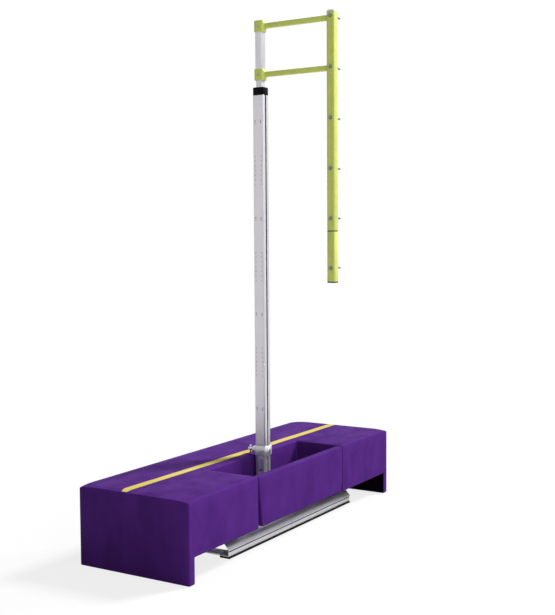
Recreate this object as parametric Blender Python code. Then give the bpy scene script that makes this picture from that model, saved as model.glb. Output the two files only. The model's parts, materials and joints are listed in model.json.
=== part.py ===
"""A pole vault standard with its padded base, one of a pair.

Metres, +Z up. Lengths are laid out from the axis of the upright at floor level: +X is
the way the arms reach, along the crossbar, and +Y is the way the vaulter runs, so
"near" is the -Y end and "far" the +Y end, where the landing mats are. The pad's back
is at -X. One empty carries the whole layout and shifts it, so that the standard is
centred on the scene's origin.
"""

import math
from collections import namedtuple

import bmesh
import bpy
from mathutils import Vector

Bolt = namedtuple("Bolt", "shank across head washer")

# Gaps between pieces
SEAT = 0.0003
HOLE_GAP = 0.0005
RUNNING = 0.0008

# Facets round a circle: broad ones, ordinary ones and small hidden ones
BROAD_SIDES = 20
SIDES = 12
HIDDEN_SIDES = 6

# Fasteners: shank radius, width across flats, head height, washer radius
SMALL_BOLT = Bolt(0.003, 0.010, 0.004, 0.0065)
MIDDLE_BOLT = Bolt(0.004, 0.013, 0.005, 0.0085)
LARGE_BOLT = Bolt(0.006, 0.018, 0.007, 0.0120)
WASHER_THICKNESS = 0.0015
BOLT_TIP = 0.003
HEAD_CHAMFER = 0.86

# Inner mast, and the room between it and the upright tube along X and Y
MAST_SIZE = 0.042
MAST_WALL = 0.003
MAST_CORNER = 0.003
MAST_ROOM_X = 0.013
MAST_ROOM_Y = 0.007
SLEEVE_WALL = 0.0027
SLEEVE_CORNER = 0.004
MAST_SHOWING = 0.043
GUIDE_HEIGHT = 0.040
GUIDE_BELOW_KEY = 0.007
STOP_SCREW_BELOW_MAST = 0.0545

# Upright tube, an extrusion with a slot down the arm side
UPRIGHT_TOP = 2.817
TUBE_WALL = 0.004
TUBE_CORNER = 0.004
TUBE_INNER_CORNER = 0.002
TUBE_SLOT = 0.016
TUBE_SLOT_FOOT = 0.260
CAP_HEIGHT = 0.050
CAP_SPIGOT = 0.030
CAP_CHAMFER = 0.003
FOOT_SCREW_RISE = 0.035

# Slider that grips the tube and lifts the mast
SLIDER_HEIGHT = 0.062
SLIDER_WALL = 0.008
SLIDER_CORNER = 0.014
SLIDER_EDGE = 0.003
SCREW_BOSS_RADIUS = 0.020
SCREW_BOSS_ROOT = 0.026
SCREW_BOSS_FLARE = 0.012
SCREW_BOSS_LENGTH = 0.029
BOLT_BOSS_RADIUS = 0.022
BOLT_BOSS_RISE = 0.005
BOSS_EDGE = 0.002
KEY_HEIGHT = 0.046
KEY_CORNER = 0.002
CLAMP_SCREW_RADIUS = 0.006
CLAMP_TIP_RADIUS = 0.0045
CLAMP_ABOVE_PAD = 0.0085
HANDLE_GAP = 0.010
HANDLE_SPAN = 0.052
HANDLE_HUB = 0.018
HANDLE_HUB_RADIUS = 0.0105
HANDLE_HUB_PROUD = 0.002
HANDLE_HUB_RISE = 0.010
HANDLE_ARM = 0.010
HANDLE_END = 0.007
HANDLE_TAPER = 0.003
HANDLE_SOCKET = 0.010

# Arms, collars and hanging bar
ARM_REACH = 0.515
ARM_SPACING = 0.301
ARM_HEIGHT = 0.032
ARM_DEPTH = 0.026
ARM_WALL = 0.0025
ARM_CORNER = 0.004
COLLAR_HEIGHT = 0.072
COLLAR_WALL = 0.003
COLLAR_ROOT = 0.010
COLLAR_CORNER = 0.004
SOCKET_WALL = 0.003
BAR_SIZE = 0.051
BAR_WALL = 0.003
BAR_CORNER = 0.004
BAR_ABOVE_TOP_PEG = 0.033
BAR_BELOW_LAST_PEG = 0.083
JOINT_BELOW_PEG = 0.078
SPLICE_BELOW_PEG = 0.018
SPLICE_DOWN = 0.090
PLUG_HEIGHT = 0.012
PLUG_SPIGOT = 0.018
PLUG_DRAWN_IN = 0.5
END_CAP_THICKNESS = 0.006
END_CAP_CHAMFER = 0.0015

# Pegs that hold the crossbar
PEG_SPACING = 0.3048
PEG_COUNT = 6
PEGS_ABOVE_JOINT = 5
PEG_ABOVE_ARM = 0.008
PEG_REACH = 0.072

# Base frame
BASE_LENGTH = 1.525
BASE_WIDTH = 0.570
BASE_SHIFT_Y = 0.0575
FOOT_HEIGHT = 0.012
FOOT_STRIP_WIDTH = 0.030
FOOT_END_WIDTH = 0.062
FOOT_END_LENGTH = 0.045
RAIL_HEIGHT = 0.088
RAIL_WALL = 0.004
RAIL_SLOPE = 0.048
RAIL_LAND = 0.030
RAIL_STEP = 0.006
RAIL_GROOVE = 0.002
RAIL_LIP = 0.012
RAIL_BEAD = 0.004
TOP_STRAP_WIDTH = 0.070
TOP_STRAP_THICKNESS = 0.008
LOW_STRAP_WIDTH = 0.090
MIDDLE_STRAP_WIDTH = 0.075
MIDDLE_STRAP_SHIFT = -0.090
LOW_STRAP_THICKNESS = 0.008

# Carriage that rolls in the base
DECK_LENGTH = 0.530
DECK_THICKNESS = 0.006
DECK_LIP = 0.018
DECK_BELOW_RAIL = 0.010
DECK_SIDE_GAP = 0.003
DECK_PAST_PLATE = 0.023
CHEEK_END_GAP = 0.009
CHEEK_THICKNESS = 0.008
CHEEK_FLOOR_GAP = 0.026
ROLLER_RADIUS = 0.024
ROLLER_WIDTH = 0.020
ROLLER_SPACING = 0.400
ROLLER_HUB_RADIUS = 0.011
ROLLER_WEB_RADIUS = 0.018
ROLLER_DISH = 0.004
ROLLER_EDGE = 0.0015
AXLE_RADIUS = 0.005
AXLE_SHOULDER_RADIUS = 0.0085
AXLE_HEAD = 0.016
AXLE_HEAD_HEIGHT = 0.005
FOOT_PLATE_FRONT = 0.104
FOOT_PLATE_BACK = 0.046
FOOT_PLATE_WIDTH = 0.160
FOOT_PLATE_THICKNESS = 0.010
FOOT_PLATE_CORNER = 0.006
FOOT_BOLT_INSET = 0.018
SPIGOT_HEIGHT = 0.110
SPIGOT_WALL = 0.005
GUSSET_HEIGHT = 0.090
GUSSET_THICKNESS = 0.010
GUSSET_NOSE = 0.010
GUSSET_INSET = 0.005

# Base pad
PAD_LENGTH = 2.440
PAD_WIDTH = 0.766
PAD_HEIGHT = 0.465
PAD_BACK = 0.464
PAD_ABOVE_BASE = 0.044
PAD_LEG = 0.046
PAD_CROWN = 0.005
PAD_ROUND = 0.011
SLOT_LENGTH = 1.060
SLOT_BEHIND_TUBE = 0.020
FLAP_THICKNESS = 0.048
FLAP_SEAM = 0.004
FLAP_CREASE = 0.0015
FLAP_ROUND = 0.008
FLAP_CROWN = 0.003

# Worked out from the sizes above
TUBE_X = MAST_SIZE + 2 * (MAST_ROOM_X + TUBE_WALL)
TUBE_Y = MAST_SIZE + 2 * (MAST_ROOM_Y + TUBE_WALL)
SLEEVE_SIZE = MAST_SIZE + 2 * (SEAT + SLEEVE_WALL)
COLLAR_HALF = SLEEVE_SIZE / 2 + SEAT + COLLAR_WALL
BAR_FRONT = ARM_REACH + BAR_SIZE / 2
CENTRE_X = (BAR_FRONT - PAD_BACK) / 2

RAIL_WIDTH = RAIL_SLOPE + RAIL_LAND
RAIL_TOP = FOOT_HEIGHT + RAIL_HEIGHT
FLANGE_TOP = FOOT_HEIGHT + RAIL_WALL
BASE_FACE_X = FOOT_PLATE_FRONT + DECK_PAST_PLATE + DECK_SIDE_GAP + RAIL_WIDTH
BASE_X = BASE_FACE_X - BASE_WIDTH / 2

DECK_TOP = RAIL_TOP - DECK_BELOW_RAIL
DECK_HALF_WIDTH = BASE_WIDTH / 2 - RAIL_WIDTH - DECK_SIDE_GAP
ROLLER_Z = FLANGE_TOP + SEAT + ROLLER_RADIUS
PLATE_TOP = DECK_TOP + SEAT + FOOT_PLATE_THICKNESS
TUBE_FOOT = PLATE_TOP + SEAT
CAP_FOOT = UPRIGHT_TOP - CAP_HEIGHT

PAD_FRONT = PAD_WIDTH - PAD_BACK
PAD_TUNNEL = RAIL_TOP + TOP_STRAP_THICKNESS + PAD_ABOVE_BASE
SLOT_BACK = -TUBE_X / 2 - SLOT_BEHIND_TUBE

SLIDER_Z = PAD_HEIGHT + CLAMP_ABOVE_PAD + HANDLE_SPAN / 2
SLIDER_FACE = TUBE_X / 2 + RUNNING + SLIDER_WALL
SCREW_BOSS_REACH = SLIDER_FACE + SCREW_BOSS_LENGTH
BOLT_BOSS_REACH = SLIDER_FACE + BOLT_BOSS_RISE
MAST_FOOT = SLIDER_Z - KEY_HEIGHT / 2 - GUIDE_BELOW_KEY - GUIDE_HEIGHT
STOP_SCREW_Z = MAST_FOOT - STOP_SCREW_BELOW_MAST

LOWER_ARM_Z = UPRIGHT_TOP + MAST_SHOWING + COLLAR_HEIGHT / 2
ARM_HEIGHTS = [LOWER_ARM_Z + ARM_SPACING, LOWER_ARM_Z]
PEG_HEIGHTS = [ARM_HEIGHTS[0] + PEG_ABOVE_ARM - PEG_SPACING * row for row in range(PEG_COUNT)]
JOINT_Z = PEG_HEIGHTS[PEGS_ABOVE_JOINT - 1] - JOINT_BELOW_PEG

PLACES = {}


def clear_scene():
    """Take away whatever the file opened with."""
    for obj in list(bpy.data.objects):
        bpy.data.objects.remove(obj, do_unlink=True)


def make_material(name, colour, roughness, metallic=0.0):
    """One plain surface finish."""
    material = bpy.data.materials.new(name)
    material.use_nodes = True
    shader = material.node_tree.nodes["Principled BSDF"]
    shader.inputs["Base Color"].default_value = (*colour, 1.0)
    shader.inputs["Roughness"].default_value = roughness
    shader.inputs["Metallic"].default_value = metallic
    return material


def hang(obj, parent, at):
    """Put an object at a point of the layout, carried by its parent."""
    PLACES[obj.name] = Vector(at)
    obj.parent = parent
    obj.location = Vector(at) - PLACES[parent.name]
    bpy.context.scene.collection.objects.link(obj)


def add_pivot(name, parent, at):
    """An empty that a moving group hangs from."""
    pivot = bpy.data.objects.new(name, None)
    hang(pivot, parent, at)
    return pivot


def finish(bm, name, parent, material, at=(0, 0, 0)):
    """Turn a bmesh drawn in the layout into a named object with its origin at a point."""
    bmesh.ops.recalc_face_normals(bm, faces=bm.faces)
    bmesh.ops.translate(bm, vec=-Vector(at), verts=bm.verts)
    mesh = bpy.data.meshes.new(name)
    bm.to_mesh(mesh)
    bm.free()
    mesh.shade_smooth()
    mesh.set_sharp_from_angle(angle=math.radians(35))
    if material:
        mesh.materials.append(material)
    obj = bpy.data.objects.new(name, mesh)
    hang(obj, parent, at)
    return obj


def combine(obj, tool_bm, label, operation="DIFFERENCE"):
    """Cut a shape out of an object, or join it on, with a Boolean that stays live."""
    tool = finish(tool_bm, f"{obj.name}_{label}", obj.parent, None)
    tool.hide_render = True
    tool.display_type = "WIRE"
    boolean = obj.modifiers.new(label, "BOOLEAN")
    boolean.operation = operation
    boolean.solver = "EXACT"
    boolean.object = tool


def round_edges(obj, width, segments, degrees=40):
    """Round every edge sharper than an angle."""
    bevel = obj.modifiers.new("round_edges", "BEVEL")
    bevel.width = width
    bevel.segments = segments
    bevel.limit_method = "ANGLE"
    bevel.angle_limit = math.radians(degrees)


# Outlines


def circle(radius, sides=SIDES):
    """Points round a circle."""
    turns = [math.tau * step / sides for step in range(sides)]
    return [(radius * math.cos(turn), radius * math.sin(turn)) for turn in turns]


def hexagon(across):
    """A hexagon of a width across flats, with a point in the middle of each flat as well."""
    points = []
    for step in range(SIDES):
        turn = math.tau * step / SIDES
        radius = across / 2 if step % 2 else across / math.sqrt(3)
        points.append((radius * math.cos(turn), radius * math.sin(turn)))
    return points


def rounded_box(width, height, radius, steps=2):
    """A rectangle about the origin with round corners."""
    points = []
    for quarter in range(4):
        sign_u = 1 if quarter in (0, 3) else -1
        sign_v = 1 if quarter in (0, 1) else -1
        centre_u = sign_u * (width / 2 - radius)
        centre_v = sign_v * (height / 2 - radius)
        for step in range(steps + 1):
            turn = math.pi / 2 * (quarter + step / steps)
            points.append((centre_u + radius * math.cos(turn), centre_v + radius * math.sin(turn)))
    return points


def plain_box(width, height):
    """A rectangle about the origin."""
    half_u = width / 2
    half_v = height / 2
    return [(half_u, half_v), (-half_u, half_v), (-half_u, -half_v), (half_u, -half_v)]


# Solids from outlines


def axes_across(direction):
    """The two unit vectors that outlines use across a direction: u level where it can be."""
    direction = Vector(direction).normalized()
    if abs(direction.z) > 0.5:
        return Vector((1, 0, 0)), Vector((0, 1, 0))
    level = Vector((0, 0, 1)).cross(direction)
    if level.x + level.y < 0:
        level = -level
    return level, Vector((0, 0, 1))


def add_stack(bm, origin, direction, sections, closed=True):
    """Join outlines of equal count, each at its distance along a direction, into a solid."""
    across, upward = axes_across(direction)
    direction = Vector(direction).normalized()
    rings = []
    for distance, outline in sections:
        centre = Vector(origin) + direction * distance
        rings.append([bm.verts.new(centre + across * u + upward * v) for u, v in outline])
    for lower, upper in zip(rings, rings[1:]):
        for index, vertex in enumerate(lower):
            after = (index + 1) % len(lower)
            bm.faces.new((vertex, lower[after], upper[after], upper[index]))
    if closed:
        bm.faces.new(rings[0])
        bm.faces.new(list(reversed(rings[-1])))
    return rings


def add_prism(bm, origin, direction, length, outline):
    """A straight solid of one outline."""
    add_stack(bm, origin, direction, [(0, outline), (length, outline)])


def add_hollow(bm, origin, direction, length, outer, inner):
    """A straight tube whose two outlines have as many points as each other."""
    add_stack_loop(bm, origin, direction, [(0, outer), (length, outer), (length, inner), (0, inner)])


def add_stack_loop(bm, origin, direction, sections):
    """Outlines joined in a loop, last to first, as for a ring or a wheel with a bore."""
    rings = add_stack(bm, origin, direction, sections, closed=False)
    first = rings[0]
    last = rings[-1]
    for index, vertex in enumerate(last):
        after = (index + 1) % len(last)
        bm.faces.new((vertex, last[after], first[after], first[index]))


def add_box(bm, low, high):
    """A plain block between two corners."""
    low = Vector(low)
    high = Vector(high)
    size = high - low
    foot = Vector(((low.x + high.x) / 2, (low.y + high.y) / 2, low.z))
    add_prism(bm, foot, (0, 0, 1), size.z, plain_box(size.x, size.y))


# Fasteners


def add_bolt(name, parent, material, seat, direction, grip, size, tip=BOLT_TIP):
    """A hex bolt with its nut on: the head seats at a point, the shank runs on from there."""
    shank = circle(size.shank)
    washer = circle(size.washer)
    flats = hexagon(size.across)
    top = -WASHER_THICKNESS - SEAT
    nut = grip + SEAT
    end = nut + size.head + tip
    sections = [
        (top - size.head, hexagon(size.across * HEAD_CHAMFER)),
        (top - size.head * HEAD_CHAMFER, flats),
        (top, flats),
        (top, washer),
        (-SEAT, washer),
        (-SEAT, shank),
        (nut, shank),
        (nut, flats),
        (nut + size.head, flats),
        (nut + size.head, shank),
        (end - size.shank / 3, shank),
        (end, circle(size.shank * 2 / 3)),
    ]
    bm = bmesh.new()
    add_stack(bm, seat, direction, sections)
    finish(bm, name, parent, material, seat)


def drill(obj, holes, sides=SIDES):
    """Cut round holes, each given by a start, a direction, a depth and the shank it takes."""
    bm = bmesh.new()
    for start, direction, depth, shank in holes:
        add_prism(bm, start, direction, depth, circle(shank + HOLE_GAP, sides))
    combine(obj, bm, "holes")


# Base frame


def rail_outline():
    """The rail's section: distance in from its outer edge, and height above the floor."""
    slope_foot = RAIL_TOP - RAIL_SLOPE
    wall = RAIL_WALL
    diagonal = wall * math.sqrt(2)
    step_top = slope_foot - 2 * RAIL_GROOVE
    groove_top = step_top - 2 * RAIL_GROOVE
    groove_foot = groove_top - 2 * RAIL_GROOVE
    inner_wall = RAIL_STEP + wall
    slope_start = slope_foot + inner_wall - diagonal
    return [
        (RAIL_STEP, FOOT_HEIGHT),
        (RAIL_WIDTH, FOOT_HEIGHT),
        (RAIL_WIDTH, FLANGE_TOP + RAIL_BEAD),
        (RAIL_WIDTH - wall, FLANGE_TOP + RAIL_BEAD),
        (RAIL_WIDTH - wall, FLANGE_TOP),
        (inner_wall, FLANGE_TOP),
        (inner_wall, slope_start),
        (RAIL_SLOPE - wall + diagonal, RAIL_TOP - wall),
        (RAIL_WIDTH - wall, RAIL_TOP - wall),
        (RAIL_WIDTH - wall, RAIL_TOP - RAIL_LIP),
        (RAIL_WIDTH, RAIL_TOP - RAIL_LIP),
        (RAIL_WIDTH, RAIL_TOP),
        (RAIL_SLOPE, RAIL_TOP),
        (0, slope_foot),
        (0, step_top),
        (RAIL_STEP + RAIL_GROOVE, groove_top),
        (RAIL_STEP + RAIL_GROOVE, groove_foot),
        (RAIL_STEP, groove_foot - RAIL_GROOVE),
    ]


def add_rail(parent, material, name, side):
    """One extruded side rail, open towards the carriage; side is 1 for the arm side."""
    edge_x = BASE_X + side * BASE_WIDTH / 2
    near_y = BASE_SHIFT_Y - BASE_LENGTH / 2
    bm = bmesh.new()
    section = [(edge_x - side * inward, height) for inward, height in rail_outline()]
    add_prism(bm, (0, near_y, 0), (0, 1, 0), BASE_LENGTH, section)
    finish(bm, name, parent, material, (edge_x, BASE_SHIFT_Y, FOOT_HEIGHT))


def add_foot_strip(parent, material, name, side):
    """The rubber strip under a rail, with a wider pad at each end."""
    edge_x = BASE_X + side * BASE_WIDTH / 2
    outer = edge_x - side * (RAIL_STEP + RAIL_WALL / 2)
    narrow = outer - side * FOOT_STRIP_WIDTH
    wide = outer - side * FOOT_END_WIDTH
    ends = [BASE_SHIFT_Y + end * BASE_LENGTH / 2 for end in (-1, 1)]
    shoulders = [ends[0] + FOOT_END_LENGTH, ends[1] - FOOT_END_LENGTH]
    outline = [
        (outer, ends[0]),
        (wide, ends[0]),
        (wide, shoulders[0]),
        (narrow, shoulders[0] + FOOT_END_LENGTH / 2),
        (narrow, shoulders[1] - FOOT_END_LENGTH / 2),
        (wide, shoulders[1]),
        (wide, ends[1]),
        (outer, ends[1]),
    ]
    bm = bmesh.new()
    add_prism(bm, (0, 0, 0), (0, 0, 1), FOOT_HEIGHT - SEAT, outline)
    finish(bm, name, parent, material, (edge_x, BASE_SHIFT_Y, 0))


def add_straps(parent, material):
    """Straps over the rails' lands at both ends, and three between the bottom flanges."""
    land_span = BASE_WIDTH - 2 * RAIL_SLOPE
    for name, end in (("top_strap_near", -1), ("top_strap_far", 1)):
        strap_y = BASE_SHIFT_Y + end * (BASE_LENGTH - TOP_STRAP_WIDTH) / 2
        at = (BASE_X, strap_y, RAIL_TOP + SEAT)
        bm = bmesh.new()
        add_prism(bm, at, (0, 0, 1), TOP_STRAP_THICKNESS, plain_box(land_span, TOP_STRAP_WIDTH))
        finish(bm, name, parent, material, at)

    flange_span = BASE_WIDTH - 2 * (RAIL_WIDTH + SEAT)
    end_y = (BASE_LENGTH - LOW_STRAP_WIDTH) / 2
    rows = (
        ("low_strap_near", -end_y, LOW_STRAP_WIDTH),
        ("low_strap_middle", MIDDLE_STRAP_SHIFT, MIDDLE_STRAP_WIDTH),
        ("low_strap_far", end_y, LOW_STRAP_WIDTH),
    )
    for name, offset, width in rows:
        at = (BASE_X, BASE_SHIFT_Y + offset, FOOT_HEIGHT)
        bm = bmesh.new()
        add_prism(bm, at, (0, 0, 1), LOW_STRAP_THICKNESS, plain_box(flange_span, width))
        finish(bm, name, parent, material, at)


def add_base(parent, finishes):
    """The frame on the ground."""
    for name, side in (("arm_side", 1), ("back_side", -1)):
        add_rail(parent, finishes["aluminium"], f"rail_{name}", side)
        add_foot_strip(parent, finishes["rubber"], f"foot_strip_{name}", side)
    add_straps(parent, finishes["aluminium"])


# Carriage


def cheek_faces(side):
    """The outer and inner face of a cheek plate, as X."""
    outer = BASE_X + side * (DECK_HALF_WIDTH - DECK_SIDE_GAP)
    return outer, outer - side * CHEEK_THICKNESS


def foot_bolt_seats():
    """The four corners of the foot plate that are bolted down."""
    back = -FOOT_PLATE_BACK + FOOT_BOLT_INSET
    front = FOOT_PLATE_FRONT - FOOT_BOLT_INSET
    side = FOOT_PLATE_WIDTH / 2 - FOOT_BOLT_INSET
    return [(x, y, PLATE_TOP) for x in (back, front) for y in (-side, side)]


def axle_places():
    """Name, side and Y of the four rollers."""
    half = ROLLER_SPACING / 2
    return [
        ("near_arm_side", 1, -half),
        ("far_arm_side", 1, half),
        ("near_back_side", -1, -half),
        ("far_back_side", -1, half),
    ]


def add_deck(parent, finishes):
    """The deck plate with its two turned-down edges, and the cheeks that carry it."""
    half = DECK_LENGTH / 2
    thick = DECK_THICKNESS
    outline = [
        (-half, DECK_TOP),
        (half, DECK_TOP),
        (half, DECK_TOP - DECK_LIP),
        (half - thick, DECK_TOP - DECK_LIP),
        (half - thick, DECK_TOP - thick),
        (thick - half, DECK_TOP - thick),
        (thick - half, DECK_TOP - DECK_LIP),
        (-half, DECK_TOP - DECK_LIP),
    ]
    bm = bmesh.new()
    add_prism(bm, (BASE_X - DECK_HALF_WIDTH, 0, 0), (1, 0, 0), 2 * DECK_HALF_WIDTH, outline)
    deck = finish(bm, "deck_plate", parent, finishes["aluminium"], (BASE_X, 0, DECK_TOP))
    depth = FOOT_PLATE_THICKNESS + 2 * thick
    drill(deck, [(seat, (0, 0, -1), depth, MIDDLE_BOLT.shank) for seat in foot_bolt_seats()])

    for name, side in (("cheek_arm_side", 1), ("cheek_back_side", -1)):
        outer, inner = cheek_faces(side)
        top = DECK_TOP - thick - SEAT
        half_cheek = half - thick - CHEEK_END_GAP
        chamfer = (top - CHEEK_FLOOR_GAP) / 2
        outline = [
            (-half_cheek, top),
            (half_cheek, top),
            (half_cheek, CHEEK_FLOOR_GAP + chamfer),
            (half_cheek - chamfer, CHEEK_FLOOR_GAP),
            (chamfer - half_cheek, CHEEK_FLOOR_GAP),
            (-half_cheek, CHEEK_FLOOR_GAP + chamfer),
        ]
        bm = bmesh.new()
        add_prism(bm, (min(outer, inner), 0, 0), (1, 0, 0), CHEEK_THICKNESS, outline)
        cheek = finish(bm, name, parent, finishes["black_steel"], (outer, 0, ROLLER_Z))
        depth = CHEEK_THICKNESS + 2 * RUNNING
        start_x = outer + side * RUNNING
        axles = [y for _, axle_side, y in axle_places() if axle_side == side]
        holes = [((start_x, y, ROLLER_Z), (-side, 0, 0), depth, AXLE_RADIUS) for y in axles]
        drill(cheek, holes)


def add_rollers(parent, finishes):
    """Four dished rollers, each on its shouldered axle."""
    for name, side, y in axle_places():
        outer_edge = BASE_X + side * BASE_WIDTH / 2
        inner_face = outer_edge - side * (RAIL_WIDTH - RAIL_WALL - RUNNING)
        outer_face = inner_face + side * ROLLER_WIDTH
        start = (outer_face, y, ROLLER_Z)
        centre = (outer_face - side * ROLLER_WIDTH / 2, y, ROLLER_Z)
        add_roller(f"roller_{name}", parent, finishes["nylon"], start, side, centre)
        add_axle(f"axle_{name}", parent, finishes["steel"], start, side, centre)


def add_roller(name, parent, material, start, side, centre):
    """A roller with a dish in both faces, from its outer face inwards."""
    bore = circle(AXLE_RADIUS + HOLE_GAP, BROAD_SIDES)
    hub = circle(ROLLER_HUB_RADIUS, BROAD_SIDES)
    web = circle(ROLLER_WEB_RADIUS, BROAD_SIDES)
    rim = circle(ROLLER_RADIUS - ROLLER_EDGE, BROAD_SIDES)
    tread = circle(ROLLER_RADIUS, BROAD_SIDES)
    sections = [
        (0, bore),
        (0, hub),
        (ROLLER_DISH, web),
        (0, rim),
        (ROLLER_EDGE, tread),
        (ROLLER_WIDTH - ROLLER_EDGE, tread),
        (ROLLER_WIDTH, rim),
        (ROLLER_WIDTH - ROLLER_DISH, web),
        (ROLLER_WIDTH, hub),
        (ROLLER_WIDTH, bore),
    ]
    bm = bmesh.new()
    add_stack_loop(bm, start, (-side, 0, 0), sections)
    finish(bm, name, parent, material, centre)


def add_axle(name, parent, material, start, side, centre):
    """An axle with its head outside the roller, a shoulder on the cheek and a nut behind it."""
    cheek_outer, cheek_inner = cheek_faces(side)
    shank = circle(AXLE_RADIUS)
    shoulder = circle(AXLE_SHOULDER_RADIUS)
    flats = hexagon(AXLE_HEAD)
    roller_end = ROLLER_WIDTH + RUNNING
    cheek_start = abs(start[0] - cheek_outer) - SEAT
    cheek_end = abs(start[0] - cheek_inner) + SEAT
    sections = [
        (-RUNNING - AXLE_HEAD_HEIGHT, flats),
        (-RUNNING, flats),
        (-RUNNING, shank),
        (roller_end, shank),
        (roller_end, shoulder),
        (cheek_start, shoulder),
        (cheek_start, shank),
        (cheek_end, shank),
        (cheek_end, flats),
        (cheek_end + AXLE_HEAD_HEIGHT, flats),
        (cheek_end + AXLE_HEAD_HEIGHT, shank),
        (cheek_end + AXLE_HEAD_HEIGHT + BOLT_TIP, shank),
    ]
    bm = bmesh.new()
    add_stack(bm, start, (-side, 0, 0), sections)
    finish(bm, name, parent, material, centre)


def spigot_outline(shrink):
    """The inside of the upright tube, drawn in on every side."""
    width = TUBE_X - 2 * (TUBE_WALL + shrink)
    depth = TUBE_Y - 2 * (TUBE_WALL + shrink)
    return rounded_box(width, depth, TUBE_INNER_CORNER)


def add_foot(parent, finishes):
    """The foot plate, the spigot inside the tube and the gusset on the arm side."""
    black = finishes["black_steel"]
    at = ((FOOT_PLATE_FRONT - FOOT_PLATE_BACK) / 2, 0, DECK_TOP + SEAT)
    outline = rounded_box(FOOT_PLATE_FRONT + FOOT_PLATE_BACK, FOOT_PLATE_WIDTH, FOOT_PLATE_CORNER)
    bm = bmesh.new()
    add_prism(bm, at, (0, 0, 1), FOOT_PLATE_THICKNESS, outline)
    plate = finish(bm, "foot_plate", parent, black, at)
    depth = FOOT_PLATE_THICKNESS + 2 * RUNNING
    starts = [(x, y, z + RUNNING) for x, y, z in foot_bolt_seats()]
    drill(plate, [(start, (0, 0, -1), depth, MIDDLE_BOLT.shank) for start in starts])

    bm = bmesh.new()
    add_hollow(bm, (0, 0, TUBE_FOOT), (0, 0, 1), SPIGOT_HEIGHT,
               spigot_outline(SEAT), spigot_outline(SEAT + SPIGOT_WALL))
    spigot = finish(bm, "foot_spigot", parent, black, (0, 0, TUBE_FOOT))
    drill(spigot, [foot_screw_hole()], sides=HIDDEN_SIDES)

    inner = TUBE_X / 2 + SEAT
    tip = FOOT_PLATE_FRONT - GUSSET_INSET
    outline = [
        (inner, TUBE_FOOT),
        (tip, TUBE_FOOT),
        (tip, TUBE_FOOT + GUSSET_NOSE),
        (inner + GUSSET_NOSE, TUBE_FOOT + GUSSET_HEIGHT),
        (inner, TUBE_FOOT + GUSSET_HEIGHT),
    ]
    bm = bmesh.new()
    add_prism(bm, (0, -GUSSET_THICKNESS / 2, 0), (0, 1, 0), GUSSET_THICKNESS, outline)
    finish(bm, "foot_gusset", parent, black, (inner, 0, TUBE_FOOT))

    grip = FOOT_PLATE_THICKNESS + SEAT + DECK_THICKNESS
    for number, seat in enumerate(foot_bolt_seats(), 1):
        add_bolt(f"foot_bolt_{number}", parent, finishes["steel"], seat, (0, 0, -1), grip,
                 MIDDLE_BOLT)


def foot_screw_hole():
    """The screw that holds the tube on its spigot, on the near face."""
    start = (0, -TUBE_Y / 2 - RUNNING, TUBE_FOOT + FOOT_SCREW_RISE)
    depth = TUBE_WALL + SPIGOT_WALL + 3 * RUNNING
    return start, (0, 1, 0), depth, SMALL_BOLT.shank


def stop_screw_hole():
    """The stop screw under the mast's guide block, on the near face."""
    start = (0, -TUBE_Y / 2 - RUNNING, STOP_SCREW_Z)
    return start, (0, 1, 0), TUBE_WALL + 2 * RUNNING, SMALL_BOLT.shank


def add_upright(parent, finishes):
    """The slotted outer tube, the guide cap on it and the small screws in it."""
    length = CAP_FOOT - SEAT - TUBE_FOOT
    outer = rounded_box(TUBE_X, TUBE_Y, TUBE_CORNER)
    bm = bmesh.new()
    add_hollow(bm, (0, 0, TUBE_FOOT), (0, 0, 1), length, outer, spigot_outline(0))
    tube = finish(bm, "outer_tube", parent, finishes["aluminium"], (0, 0, TUBE_FOOT))
    bm = bmesh.new()
    half = TUBE_SLOT / 2
    add_box(bm, (0, -half, TUBE_SLOT_FOOT), (TUBE_X, half, UPRIGHT_TOP))
    combine(tube, bm, "slot")
    drill(tube, [foot_screw_hole(), stop_screw_hole()], sides=HIDDEN_SIDES)

    guide_hole = rounded_box(MAST_SIZE + 2 * RUNNING, MAST_SIZE + 2 * RUNNING, MAST_CORNER)
    spigot = spigot_outline(SEAT)
    crown = rounded_box(TUBE_X - 2 * CAP_CHAMFER, TUBE_Y - 2 * CAP_CHAMFER, TUBE_CORNER)
    sections = [
        (-CAP_SPIGOT, guide_hole),
        (-CAP_SPIGOT, spigot),
        (0, spigot),
        (0, outer),
        (CAP_HEIGHT - CAP_CHAMFER, outer),
        (CAP_HEIGHT, crown),
        (CAP_HEIGHT, guide_hole),
    ]
    bm = bmesh.new()
    add_stack_loop(bm, (0, 0, CAP_FOOT), (0, 0, 1), sections)
    finish(bm, "tube_cap", parent, finishes["black_nylon"], (0, 0, CAP_FOOT))

    rows = (
        ("foot_screw", TUBE_FOOT + FOOT_SCREW_RISE, TUBE_WALL + SEAT + SPIGOT_WALL),
        ("stop_screw", STOP_SCREW_Z, TUBE_WALL),
    )
    for name, height, grip in rows:
        add_bolt(name, parent, finishes["black_steel"], (0, -TUBE_Y / 2, height), (0, 1, 0), grip,
                 SMALL_BOLT)


# Mast


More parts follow.
